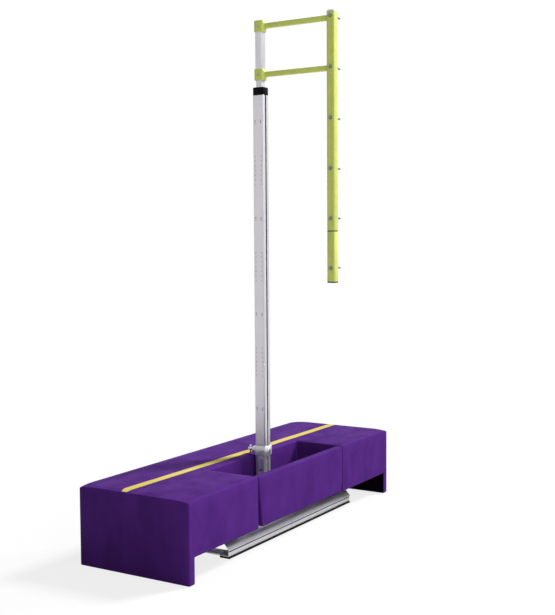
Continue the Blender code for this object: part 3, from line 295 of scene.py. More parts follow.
def coated_vinyl(name, tint, deep):
    """PVC-coated polyester: a woven grain under the coat, soft creases and puckers at its seams."""
    material, tree, shader, place = start_material(name, 0.55, gloss=0.01)
    # Threads are about 1 mm apart; drawn at 3 mm, the finest that shows beside the whole pad
    weave = add_node(tree, "TexVoronoi", {"Vector": place, "Scale": 1000 / 3.0},
                     feature="SMOOTH_F1")
    along_creases = add_node(tree, "Mapping", {"Vector": place, "Scale": (1.0, 0.8, 0.35)})
    creases = add_node(tree, "TexNoise", {**NOISE, "Vector": along_creases, "Scale": 1000 / 90,
                                          "Detail": 3.0})
    along_patches = add_node(tree, "Mapping", {"Vector": place, "Scale": (1.0, 0.7, 0.4)})
    patches = add_node(tree, "TexNoise", {**NOISE, "Vector": along_patches,
                                          "Scale": 1000 / 130})
    near_seam = add_node(tree, "Attribute", attribute_name="near_seam").outputs["Fac"]
    crimps = add_node(tree, "TexNoise", {**NOISE, "Vector": place, "Scale": 1000 / 16,
                                         "Detail": 3.0})
    puckers = add_node(tree, "Math", {0: near_seam, 1: crimps}, **PRODUCT)
    mottled = add_node(tree, "MapRange", {**NOISE_SPAN, "Value": patches})
    rubbed = add_node(tree, "MapRange", {"Value": puckers, "From Min": 0.25, "From Max": 0.75,
                                         "To Max": 0.5})
    # Near-black on the faces inside the tunnel
    inside_tunnel = add_node(tree, "Attribute", attribute_name="underside").outputs["Fac"]
    lay_on(tree, shader, shaded(tint),
           ((mottled, shaded(deep)), (rubbed, shaded(tint, 1.12)),
            (inside_tunnel, shaded(linear("#0B0712")))),
           ((creases, 0.0015), (puckers, 0.0012), (weave, 0.00015)), (patches, 0.48, 0.62))
    return material


def ribbed_rubber(name):
    """Moulded rubber strip: matt black with ribs across it every 6 mm."""
    material, tree, shader, place = start_material(name, 0.75, gloss=0.1)
    ribs = add_node(tree, "TexWave", {"Vector": place, "Scale": 1000 / 6 / 6.5, "Distortion": 0.0},
                    bands_direction="Y").outputs["Fac"]
    dust = add_node(tree, "TexNoise", {**NOISE, "Vector": place, "Scale": 1000 / 25})
    dusty = add_node(tree, "MapRange", {**NOISE_SPAN, "Value": dust})
    lay_on(tree, shader, shaded(linear("#0A0A0B")), [(dusty, shaded(linear("#1A1A1A")))],
           [(ribs, 0.0008)])
    return material


def make_finish(name):
    """Make one of the finishes, each named for what the real one is."""
    metal = bpy.context.scene.standard_metal
    pad = bpy.context.scene.standard_pad
    if name.startswith("mill_aluminium"):
        return mill_aluminium(name, name[-1].upper())
    makers = {
        # Sand-cast alloy: dull grey with a pebbled skin, brighter where it is handled
        "sand_cast_alloy": lambda: grained(name, metal.cast, 0.40, 0.55, 1.6, 0.00014, 0.16,
                                          under="#E4E4EA", chipped=0.45),
        # Zinc plate: blue-grey and a little cloudy
        "zinc_plate": lambda: grained(name, metal.zinc, 0.34, 0.9, 3.0, 0.00003, 0.18,
                                      under="#C9CCD0"),
        # The same plate, dulled by the weather
        "dark_zinc": lambda: grained(name, "#7B8286", 0.42, 0.7, 3.0, 0.00003, 0.25,
                                     under="#A9ADB2"),
        # Powder flows out in the oven to an orange peel of about 2 mm; chips show grey metal
        "powder_coat": lambda: grained(name, metal.green, 0.38, 0.0, 2.2, 0.00006, 0.05, gloss=0.4,
                                       under="#8F9194"),
        # Air-drying black paint, satin, rubbed to grey at the edges
        "black_paint": lambda: grained(name, metal.black, 0.45, 0.0, 1.5, 0.00004, 0.3, gloss=0.3,
                                       under="#5B5C60"),
        # Moulded nylon: matt black, faintly pebbled
        "moulded_nylon": lambda: grained(name, "#08080A", 0.5, 0.0, 1.2, 0.00005, 0.25, gloss=0.06,
                                       under="#3A3A3D"),
        # Turned and sawn nylon: off-white with fine tool marks
        "white_nylon": lambda: grained(name, "#D8D8D2", 0.5, 0.0, 1.4, 0.00004, 0.05),
        # Moulded plug: silver-grey plastic
        "silver_plug": lambda: grained(name, "#F2F8F8", 0.4, 0.0, 1.2, 0.00004, 0.05),
        # Printed polyester film: pale, smooth and slightly smudged
        "scale_film": lambda: grained(name, "#DEDBE1", 0.35, 0.62, 4.0, 0.00001, 0.04),
        # Screen-printed ink
        "scale_ink": lambda: grained(name, "#2B2A30", 0.6, 0.0, 2.0, 0.00001, 0.2),
        "ribbed_rubber": lambda: ribbed_rubber(name),
        "purple_vinyl": lambda: coated_vinyl(name, tuple(pad.vinyl), tuple(pad.vinyl_dark)),
        "yellow_vinyl": lambda: coated_vinyl(name, tuple(pad.stripe), linear("#E5CE68")),
        # Bonded polyester thread, three strands twisted
        "yellow_thread": lambda: grained(name, "#E2CD6A", 0.6, 0.0, 1.0, 0.0002, 0.15, gloss=0.2),
        "purple_thread": lambda: grained(name, "#3C1B60", 0.6, 0.0, 1.0, 0.0002, 0.15, gloss=0.2),
    }
    return makers[name]()


def finish(name):
    """A finish by name, made when it is first asked for."""
    return bpy.data.materials.get(name) or make_finish(name)


# Meshes


def add_object(name, data):
    """An object in the scene, unmoved."""
    added = bpy.data.objects.new(name, data)
    bpy.context.scene.collection.objects.link(added)
    return added


def mesh_of(curve):
    """A curve or a text made a mesh."""
    holder = bpy.data.objects.new(curve.name, curve)
    mesh = bpy.data.meshes.new_from_object(holder)
    bpy.data.objects.remove(holder)
    return mesh


def finish_piece(bm, name, finish_name, body, crease=35):
    """Turn a bmesh drawn in place into a named piece that rides on a body."""
    bmesh.ops.remove_doubles(bm, verts=bm.verts, dist=1e-6)
    bmesh.ops.recalc_face_normals(bm, faces=bm.faces)
    mesh = bpy.data.meshes.new(name)
    bm.to_mesh(mesh)
    bm.free()
    mesh.shade_smooth()
    mesh.set_sharp_from_angle(angle=math.radians(crease))
    mesh.materials.append(finish(finish_name))
    piece = add_object(name, mesh)
    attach(piece, body)
    return piece


def cut_all(bm, point, normal):
    """Cut every face of a bmesh along a plane."""
    bmesh.ops.bisect_plane(bm, geom=bm.verts[:] + bm.edges[:] + bm.faces[:], plane_co=point,
                           plane_no=normal, dist=1e-5)


def spaced(start, end, spacing):
    """Numbers from start to end, about one spacing apart."""
    count = max(1, round((end - start) / spacing))
    return [start + (end - start) * step / count for step in range(count + 1)]


def cut_grid(bm, low, high, spacing):
    """Cut a bmesh into a grid of about one spacing along each axis."""
    for axis, normal in enumerate((X, Y, Z)):
        for place in spaced(low[axis], high[axis], spacing)[1:-1]:
            cut_all(bm, normal * place, normal)


def thicken(bm, rise):
    """Give a flat bmesh a thickness, straight up."""
    raised = bmesh.ops.extrude_face_region(bm, geom=bm.faces[:])["geom"]
    bmesh.ops.translate(bm, vec=Z * rise,
                        verts=[item for item in raised if isinstance(item, bmesh.types.BMVert)])


def block(bm, low, high):
    """A plain block between two corners, from a cube."""
    low, high = Vector(low), Vector(high)
    place = Matrix.Translation((low + high) / 2) @ Matrix.Diagonal((*(high - low), 1))
    return bmesh.ops.create_cube(bm, size=1.0, matrix=place)["verts"]


def sharp_edges(bm, degrees):
    """Edges whose two faces turn by more than an angle."""
    limit = math.radians(degrees)
    return [edge for edge in bm.edges
            if len(edge.link_faces) == 2 and edge.calc_face_angle(0.0) > limit]


def round_over(bm, edges, width, segments):
    """Round some edges."""
    return bmesh.ops.bevel(bm, geom=edges, offset=width, offset_type="OFFSET", segments=segments,
                           profile=0.5, affect="EDGES", clamp_overlap=True, material=-1)


def turned(bm, start, direction, profile, sides=40):
    """Spin a profile, as distance along an axis and radius, into a round or hexagonal solid."""
    start, direction = Vector(start), Vector(direction).normalized()
    across = direction.orthogonal().normalized()
    points = [bm.verts.new(start + direction * along + across * radius)
              for along, radius in profile]
    edges = [bm.edges.new(pair) for pair in zip(points, points[1:])]
    bmesh.ops.spin(bm, geom=points + edges, cent=start, axis=direction, angle=math.tau,
                   steps=sides, use_merge=True)


def bead(name, points, radius, finish_name, body, closed):
    """A rippled run of weld through some points."""
    curve = bpy.data.curves.new(name, "CURVE")
    curve.dimensions = "3D"
    curve.bevel_depth = radius
    curve.bevel_resolution = 2
    curve.use_fill_caps = True
    spline = curve.splines.new("POLY")
    spline.points.add(len(points) - 1)
    spline.use_cyclic_u = closed
    for index, (point, place) in enumerate(zip(spline.points, points)):
        point.co = (*place, 1)
        point.radius = 1.0 if index % 2 else 0.82
    bm = bmesh.new()
    bm.from_mesh(mesh_of(curve))
    return finish_piece(bm, name, finish_name, body, crease=60)


def square_path(centre, half_u, half_v, u, v, spacing):
    """Points round a rectangle, about one spacing apart."""
    corners = [(-half_u, -half_v), (half_u, -half_v), (half_u, half_v), (-half_u, half_v)]
    points = []
    for (u0, v0), (u1, v1) in zip(corners, corners[1:] + corners[:1]):
        count = max(2, round(math.hypot(u1 - u0, v1 - v0) / spacing))
        for step in range(count):
            share = step / count
            points.append(centre + u * (u0 + (u1 - u0) * share) + v * (v0 + (v1 - v0) * share))
    return points


# Stage


class STANDARD_OT_stage(bpy.types.Operator):
    """Set up the floor, the light and the camera"""

    bl_idname = "standard.stage"
    bl_label = "Floor, light and camera"

    # Where each lamp shines from, and its spread in degrees
    key_from, key_spread = (0.33, 0.63, 0.70), 14
    soft_from, soft_spread = (0.86, -0.22, 0.46), 60
    # The camera's yaw, pitch and roll in degrees, and its place
    camera_turns = (31.3204, -3.7613, -0.3499)
    camera_place = (3.5406, -5.6908, 1.8644)
    # The floor's own white and the share of light it shows, and the share that it throws back
    paper_glow, paper_seen, paper_spread = 0.80, 0.20, 0.60

    def execute(self, context):
        settings = context.scene.standard_stage
        scene = context.scene
        scene.view_settings.view_transform = "Standard"
        self.add_world(scene, settings)
        self.add_floor(settings)
        self.add_lamp("key_light", settings.key_strength, self.key_spread, self.key_from)
        self.add_lamp("soft_light", settings.soft_strength, self.soft_spread, self.soft_from)
        self.add_camera(scene, settings)
        return {"FINISHED"}

    def seen_by_camera(self, tree):
        """1 for a ray from the camera, a mirror or a glass, and 0 for light that spreads."""
        rays = add_node(tree, "LightPath")
        seen = rays.outputs["Is Camera Ray"]
        for name in ("Is Glossy Ray", "Is Transmission Ray"):
            seen = add_node(tree, "Math", {0: seen, 1: rays.outputs[name]}, operation="MAXIMUM")
        return seen

    def add_world(self, scene, settings):
        world = bpy.data.worlds.new("studio_world")
        scene.world = world
        world.use_nodes = True
        tree = world.node_tree
        background = tree.nodes["Background"]
        background.inputs["Color"].default_value = (1, 1, 1, 1)
        strength = add_node(tree, "MapRange", {
            "Value": self.seen_by_camera(tree), "To Min": settings.sky_strength, "To Max": 1.0})
        tree.links.new(strength.outputs["Result"], background.inputs["Strength"])

    def add_floor(self, settings):
        bm = bmesh.new()
        bmesh.ops.create_grid(bm, x_segments=1, y_segments=1, size=settings.floor_size / 2)
        mesh = bpy.data.meshes.new("studio_floor")
        bm.to_mesh(mesh)
        bm.free()
        material = bpy.data.materials.new("studio_paper")
        material.use_nodes = True
        tree = material.node_tree
        tree.nodes.clear()
        # The paper is white to the eye and keeps a pale shadow; it throws light back as paper does
        glow = add_node(tree, "Emission", {"Strength": self.paper_glow})
        paper = add_node(tree, "BsdfDiffuse", {"Color": (*[self.paper_seen] * 3, 1)})
        shown = add_node(tree, "AddShader", {0: glow, 1: paper})
        spread = add_node(tree, "BsdfDiffuse", {"Color": (*[self.paper_spread] * 3, 1)})
        either = add_node(tree, "MixShader", {0: self.seen_by_camera(tree), 1: spread, 2: shown})
        add_node(tree, "OutputMaterial", {"Surface": either})
        mesh.materials.append(material)
        floor = add_object("studio_floor", mesh)

    def add_lamp(self, name, strength, spread, direction):
        """A studio lamp by its direction: the key casts the shadow from behind on the arm side."""
        lamp = bpy.data.lights.new(name, "SUN")
        lamp.energy = strength
        lamp.angle = math.radians(spread)
        turn = Vector(direction).to_track_quat("Z", "Y").to_matrix().to_4x4()
        add_object(name, lamp).matrix_world = turn

    def add_camera(self, scene, settings):
        """The photograph's view, found from the corners of the pad and the spacing of the pegs."""
        yaw, pitch, roll = (math.radians(turn) for turn in self.camera_turns)
        forward = Vector((-math.sin(yaw) * math.cos(pitch), math.cos(yaw) * math.cos(pitch),
                          math.sin(pitch)))
        level = Vector((math.cos(yaw), math.sin(yaw), 0))
        upward = level.cross(forward)
        right = math.cos(roll) * level + math.sin(roll) * upward
        up = math.cos(roll) * upward - math.sin(roll) * level
        data = bpy.data.cameras.new("photo_camera")
        data.lens = settings.lens
        camera = add_object("photo_camera", data)
        turn = Matrix((right, up, -forward)).transposed().to_4x4()
        camera.matrix_world = Matrix.Translation(self.camera_place) @ turn
        scene.camera = camera


# Rounded copies of the frame's rigid parts


def dress(node, finish_name, width, segments=2, change=None):
    """Stand a copy of a rigid part in its place, its sharp edges rounded and marked for wear."""
    bm = bmesh.new()
    bm.from_mesh(frame["nodes"][node].data)
    bmesh.ops.remove_doubles(bm, verts=bm.verts, dist=1e-5)
    bmesh.ops.dissolve_limit(bm, angle_limit=math.radians(0.5), verts=bm.verts[:],
                             edges=bm.edges[:])
    if change:
        change(bm)
    worn = bm.faces.layers.float.new("edge_wear")
    for face in round_over(bm, sharp_edges(bm, 50), width, segments)["faces"]:
        face[worn] = 1.0
    piece = finish_piece(bm, f"{node}_dressed", finish_name, BODY_OF[node], crease=50)
    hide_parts(node)
    return piece


class STANDARD_OT_extrusions(bpy.types.Operator):
    """Finish the aluminium extrusions: the uprights, the rails, the straps and the deck"""

    bl_idname = "standard.extrusions"
    bl_label = "Aluminium extrusions"

    # Heights of the rail's groove and of the top of its slope, and how strong the painted shade on
    # the slope is
    groove_low, groove_high, slope_top, slope_dirt = 0.030, 0.047, 0.099, 0.30

    def execute(self, context):
        edge = context.scene.standard_metal.edge
        for node in ("outer_tube", "inner_mast", "mast_sleeve", "bar_splice"):
            dress(node, "mill_aluminium_z", edge)
        for node in ("rail_arm_side", "rail_back_side"):
            # The rails get painted shade in their groove and on their slope
            dress(node, "mill_aluminium_y", edge * 1.2, change=self.paint_rail_shade)
        straps = [name for name in frame["nodes"] if "strap" in name]
        for node in (*straps, "deck_plate"):
            dress(node, "mill_aluminium_x", edge * 1.4)
        for node in straps:
            if node.startswith("low"):
                self.weld_strap(node)
        return {"FINISHED"}

    def paint_rail_shade(self, bm):
        """Painted shade: full in the band at the rail's groove, for the shade in the groove, and a
        share on its slope, for the pad's shadow over it.
        """
        painted_shade = bm.faces.layers.float.new("painted_shade")
        for face in bm.faces:
            height = face.calc_center_median().z
            if self.groove_low < height < self.groove_high and abs(face.normal.y) < 0.5:
                face[painted_shade] = 1.0
            elif face.normal.z > 0.3 and height < self.slope_top:
                face[painted_shade] = self.slope_dirt

    def weld_strap(self, node):
        """A run of weld along each end of a low strap."""
        low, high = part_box(node)
        for side, x in (("arm_side", high.x), ("back_side", low.x)):
            points = [Vector((x, y, high.z)) for y in spaced(low.y, high.y, WELD_STEP)]
            bead(f"{node}_weld_{side}", points, WELD_RADIUS, "mill_aluminium_x", "base", False)


class STANDARD_OT_green_parts(bpy.types.Operator):
    """Finish the powder-coated collars, arms and hanging bar, with their welds and joint"""

    bl_idname = "standard.green_parts"
    bl_label = "Powder-coated parts"

    joint_gap = 0.0030

    def execute(self, context):
        edge = context.scene.standard_metal.edge
        for node in ("upper_collar", "lower_collar"):
            dress(node, "powder_coat", edge * 1.6)
        for node in ("upper_arm", "lower_arm"):
            dress(node, "powder_coat", edge)
            self.weld_arm(node)
        joint = BAR_LOW.z
        dress("hanging_bar", "powder_coat", edge, change=lambda bm: (
            self.draw_back(bm, joint, self.joint_gap), self.draw_back(bm, BAR_HIGH.z, -PLUG_DROP)))
        dress("bar_extension", "powder_coat", edge,
              change=lambda bm: self.draw_back(bm, joint, -self.joint_gap))
        self.add_joint_shade_ring(joint)
        return {"FINISHED"}

    def draw_back(self, bm, joint, way):
        """Shorten a length of bar a little at one of its ends."""
        ends = [vertex for vertex in bm.verts if abs(vertex.co.z - joint) < 0.001]
        bmesh.ops.translate(bm, vec=Z * way, verts=ends)

    def weld_arm(self, node):
        """Runs of weld round an arm at the bar and at its collar's socket."""
        low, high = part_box(node)
        half_y = (high.y - low.y) / 2
        half_z = (high.z - low.z) / 2
        middle = (low + high) / 2
        socket_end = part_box(node.replace("arm", "collar"))[1].x
        for label, x in (("bar", high.x - 0.0008), ("collar", socket_end + 0.0006)):
            centre = Vector((x, middle.y, middle.z))
            points = square_path(centre, half_y, half_z, Y, Z, WELD_STEP)
            bead(f"{node}_weld_at_{label}", points, THIN_WELD_RADIUS, "powder_coat", "mast", True)

    def add_joint_shade_ring(self, joint):
        """A black ring between the bar's two lengths, just inside their faces: painted shade, a
        dark piece that makes the shade in the joint's gap read black.
        """
        size = BAR_HIGH.x - BAR_LOW.x - 0.0006
        bore = SPLICE_HIGH.x - SPLICE_LOW.x + 0.0004
        height = 2 * self.joint_gap - 0.0004
        bm = bmesh.new()
        place = Matrix.Translation(((BAR_LOW.x + BAR_HIGH.x) / 2, 0, joint - height / 2))
        bmesh.ops.create_grid(bm, x_segments=1, y_segments=1, size=size / 2, matrix=place)
        bmesh.ops.bevel(bm, geom=bm.verts[:], offset=0.004, offset_type="OFFSET", segments=4,
                        profile=0.5, affect="VERTICES", material=-1)
        face = bm.faces[:]
        ring = bmesh.ops.inset_region(bm, faces=face, thickness=(size - bore) / 2,
                                      use_boundary=True, use_even_offset=True)["faces"]
        bmesh.ops.delete(bm, geom=[one for one in bm.faces if one not in ring], context="FACES")
        thicken(bm, height)
        finish_piece(bm, "bar_joint_shade_ring", "moulded_nylon", "mast")


class STANDARD_OT_castings(bpy.types.Operator):
    """Finish the cast slider and the clamp's handle"""

    bl_idname = "standard.castings"
    bl_label = "Castings"

    # The rib's half length, its half height and its tilt in degrees
    rib_half, rib_rise, rib_tilt = 0.031, 0.0028, -24

    def execute(self, context):
        edge = context.scene.standard_metal.cast_edge
        dress("slider_collar", "sand_cast_alloy", edge, segments=3)
        dress("clamp_handle", "sand_cast_alloy", edge, segments=3)
        self.add_slider_fittings()
        return {"FINISHED"}

    def add_slider_fittings(self):
        """The rib cast across the slider's near face and the wear plate that hangs below it."""
        low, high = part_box("slider_collar")
        middle = Vector((TUBE_X, low.y, (low.z + high.z) / 2))
        bm = bmesh.new()
        block(bm, (-self.rib_half, -0.0020, -self.rib_rise),
              (self.rib_half, 0.0006, self.rib_rise))
        round_over(bm, sharp_edges(bm, 50), 0.0012, 3)
        place = Matrix.Translation(middle) @ Matrix.Rotation(math.radians(self.rib_tilt), 4, "Y")
        bmesh.ops.transform(bm, matrix=place, verts=bm.verts)
        finish_piece(bm, "slider_rib", "sand_cast_alloy", "mast")
        bm = bmesh.new()
        face = TUBE_LOW.y
        block(bm, (TUBE_X - 0.014, face - 0.0030, low.z - 0.024),
              (TUBE_X + 0.017, face - 0.0008, low.z + 0.001))
        round_over(bm, sharp_edges(bm, 50), 0.0010, 3)
        finish_piece(bm, "slider_wear_plate", "white_nylon", "mast")


class STANDARD_OT_black_parts(bpy.types.Operator):
    """Finish the painted foot parts, the nylon parts and the rubber strips"""

    bl_idname = "standard.black_parts"
    bl_label = "Painted, nylon and rubber parts"

    # How far the rubber swells out; the plug's dome: its least height as a share, and its fall
    rubber_swell = 0.0065
    dome_least, dome_fall = 0.22, 0.92

    def execute(self, context):
        edge = context.scene.standard_metal.edge
        for node in ("cheek_arm_side", "cheek_back_side", "foot_plate", "foot_spigot",
                     "foot_gusset"):
            dress(node, "black_paint", edge * 1.3)
        self.weld_gusset()
        for node in ("tube_cap", "mast_guide", "bar_end_cap"):
            dress(node, "moulded_nylon", edge * 1.4)
        for node in ("foot_strip_arm_side", "foot_strip_back_side"):
            dress(node, "ribbed_rubber", edge * 2, change=self.widen_strip)
        self.add_top_plug()
        return {"FINISHED"}

    def widen_strip(self, bm):
        """The rubber swells out under the rail's outer edge, where it shows as a black line."""
        middle = sum((vertex.co.x for vertex in bm.verts), 0.0) / len(bm.verts)
        edge = max((vertex.co.x for vertex in bm.verts), key=lambda x: abs(x - TUBE_X))
        outer = [vertex for vertex in bm.verts if abs(vertex.co.x - edge) < 0.001]
        swell = X * math.copysign(self.rubber_swell, edge - middle)
        bmesh.ops.translate(bm, vec=swell, verts=outer)

    def weld_gusset(self):
        """A run of weld along each side of the gusset's foot."""
        low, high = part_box("foot_gusset")
        for side, y in (("near", low.y), ("far", high.y)):
            points = [Vector((x, y, low.z)) for x in spaced(low.x, high.x, WELD_STEP)[1:-1]]
            bead(f"foot_gusset_weld_{side}", points, WELD_RADIUS, "black_paint", "carriage", False)

    def add_top_plug(self):
        """The domed plug in the top of the hanging bar."""
        low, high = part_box("bar_top_plug")
        high.z -= 0.004
        size = (high.x - low.x) / 2
        centre = (low + high) / 2
        rim = BAR_HIGH.z + 0.0003 - PLUG_DROP
        bm = bmesh.new()
        block(bm, (centre.x - size, centre.y - size, rim),
              (centre.x + size, centre.y + size, high.z))
        round_over(bm, [edge for edge in bm.edges if abs((edge.verts[0].co - edge.verts[1].co).z)
                        > 0.001], 0.004, 3)
        cut_grid(bm, Vector((centre.x - size, centre.y - size, rim)), high, 0.005)
        reach = high.z - rim
        for vertex in bm.verts:
            share = (vertex.co.z - rim) / reach
            off = max(abs(vertex.co.x - centre.x), abs(vertex.co.y - centre.y)) / size
            dome = max(self.dome_least, math.sqrt(max(0.0, 1 - self.dome_fall * off ** 2)))
            vertex.co.z = rim + reach * share * dome
        spigot = BAR_HIGH.x - BAR_LOW.x - 0.0066
        block(bm, (centre.x - spigot / 2, centre.y - spigot / 2, low.z),
              (centre.x + spigot / 2, centre.y + spigot / 2, rim))
        piece = finish_piece(bm, "bar_top_plug_domed", "silver_plug", "mast")
        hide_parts("bar_top_plug")


class STANDARD_OT_fasteners(bpy.types.Operator):
    """Make the bolts, pegs, screws, axles, rollers and the clamp's screw"""

    bl_idname = "standard.fasteners"
    bl_label = "Fasteners, pegs and rollers"

    # Spacing of the deck's screws, and how far the straps' screws lie from an end and the middle
    deck_pitch = 0.20
    strap_inset, strap_offset = 0.015, 0.018

    def execute(self, context):
        for end in range(1, 5):
            self.add_bolt(f"foot_bolt_{end}", -Z, MIDDLE)
        for level in ("upper", "lower"):
            self.add_bolt(f"{level}_collar_bolt", Y, SMALL)
        self.add_bolt("key_bolt", -X, MIDDLE)
        for node in ("foot_screw", "stop_screw"):
            self.add_bolt(node, Y, SMALL, finish_name="black_paint", slot="black_steel")
        for place in range(1, 7):
            node = f"crossbar_peg_{place}"
            nut = BAR_HIGH.y + 0.0003 + LARGE.head
            self.add_bolt(node, Y, LARGE, tip=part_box(node)[1].y - nut, finish_name="dark_zinc")
        self.add_clamp_screw()
        dress("drive_key", "zinc_plate", 0.0006)
        for name in ("near_arm_side", "far_arm_side", "near_back_side", "far_back_side"):
            dress(f"axle_{name}", "zinc_plate", 0.0004)
            self.add_roller(f"roller_{name}")
        self.add_deck_screws()
        self.add_strap_screws()
        return {"FINISHED"}

    def add_bolt(self, node, direction, size, tip=BOLT_TIP, finish_name="zinc_plate", slot="steel"):
        """A hex bolt with its washer and its nut, in the place of a plain one."""
        low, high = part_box(node)
        start = (low + high) / 2
        reach = abs((high - low).dot(direction))
        start -= direction * reach / 2
        corner = size.across / math.sqrt(3)
        head, shank = size.head, size.shank
        nut_start = reach - tip - head
        bm = bmesh.new()
        turned(bm, start, direction, [
            (head * 0.10, 0), (head * 0.10, corner * 0.62), (0, corner * 0.70), (0, corner * 0.84),
            (head * 0.20, corner), (head, corner), (head, 0)], sides=6)
        turned(bm, start, direction, [
            (head, shank), (head, size.washer - 0.0002), (head + 0.0002, size.washer),
            (head + WASHER_THICKNESS, size.washer), (head + WASHER_THICKNESS, shank),
            (head, shank)])
        turned(bm, start, direction, [
            (head, 0), (head, shank), (reach - shank * 0.5, shank),
            (reach - shank * 0.15, shank * 0.8), (reach, shank * 0.45), (reach, 0)], sides=32)
        turned(bm, start, direction, [
            (nut_start, 0), (nut_start, corner * 0.9), (nut_start + head * 0.15, corner),
            (nut_start + head * 0.85, corner), (nut_start + head, corner * 0.86),
            (nut_start + head, 0)], sides=6)
        piece = finish_piece(bm, f"{node}_detailed", finish_name, BODY_OF[node])
        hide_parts(node)

    def add_clamp_screw(self):
        """The clamp's screw, with its thread between the slider's boss and the handle."""
        low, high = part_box("clamp_screw")
        radius = (high.z - low.z) / 2
        centre_y, centre_z = (low.y + high.y) / 2, (low.z + high.z) / 2
        pitch = 0.0018
        profile = [(0, 0), (0, radius * 0.7), (0.0012, radius * 0.86)]
        along = 0.002
        while along < high.x - low.x - 0.004:
            profile += [(along, radius * 0.86), (along + pitch / 2, radius)]
            along += pitch
        profile += [(high.x - low.x - 0.002, radius * 0.86), (high.x - low.x, radius * 0.7),
                    (high.x - low.x, 0)]
        bm = bmesh.new()
        turned(bm, (high.x, centre_y, centre_z), -X, profile, sides=28)
        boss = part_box("slider_collar")[0].x
        turned(bm, (boss - 0.0004, centre_y, centre_z), -X, [
            (0.0022, 0), (0.0022, 0.0082), (0.0030, 0.0095), (0.0070, 0.0095),
            (0.0078, 0.0082), (0.0078, 0)], sides=6)
        turned(bm, (boss - 0.0004, centre_y, centre_z), -X, [
            (0, 0.0062), (0, 0.0160), (0.0006, 0.0165), (0.0014, 0.0165), (0.0020, 0.0160),
            (0.0020, 0.0062), (0, 0.0062)], sides=48)
        piece = finish_piece(bm, "clamp_screw_threaded", "zinc_plate", "clamp")
        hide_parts("clamp_screw")

    def add_roller(self, node):
        """A turned roller: dished sides, a crowned tread and the ring of its bearing."""
        low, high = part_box(node)
        width, radius = high.x - low.x, (high.z - low.z) / 2
        centre = (low + high) / 2
        bm = bmesh.new()
        half = [(0, 0.0055), (0, 0.0085), (0.0006, 0.0088), (0.0006, 0.0108), (0, 0.0112),
                (0.0036, 0.0150), (0.0036, 0.0180), (0.0005, 0.0208), (0, radius - 0.0016),
                (0.0016, radius - 0.0003)]
        far = [(width - along, size) for along, size in reversed(half)]
        turned(bm, (low.x, centre.y, centre.z), X,
               half + [(width / 2, radius)] + far + [half[0]], sides=56)
        piece = finish_piece(bm, f"{node}_turned", "white_nylon", BODY_OF[node])
        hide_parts(node)

    def add_button_heads(self, name, places, body, radius=0.0055):
        """Round-headed socket screws standing on a level face."""
        bm = bmesh.new()
        for place in places:
            turned(bm, place, Z, [
                (0, 0), (0, radius), (0.0008, radius), (0.0022, radius * 0.80),
                (0.0029, radius * 0.52), (0.0030, radius * 0.46), (0.0014, radius * 0.44),
                (0.0014, 0)], sides=24)
        finish_piece(bm, name, "zinc_plate", body)

    def add_deck_screws(self):
        """Three screws down each side of the deck, into the cheek plates under it."""
        places = []
        for node in ("cheek_arm_side", "cheek_back_side"):
            low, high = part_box(node)
            x = (low.x + high.x) / 2
            places += [(x, y, DECK_HIGH.z) for y in (-self.deck_pitch, 0.0, self.deck_pitch)]
        self.add_button_heads("deck_screws", places, "carriage", radius=0.0035)

    def add_strap_screws(self):
        """Two screws through each end of the top straps, into the rails."""
        for node in ("top_strap_near", "top_strap_far"):
            low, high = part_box(node)
            middle = (low.y + high.y) / 2
            places = [(x, middle + way * self.strap_offset, high.z)
                      for x in (low.x + self.strap_inset, high.x - self.strap_inset)
                      for way in (-1, 1)]
            self.add_button_heads(f"{node}_screws", places, "base")


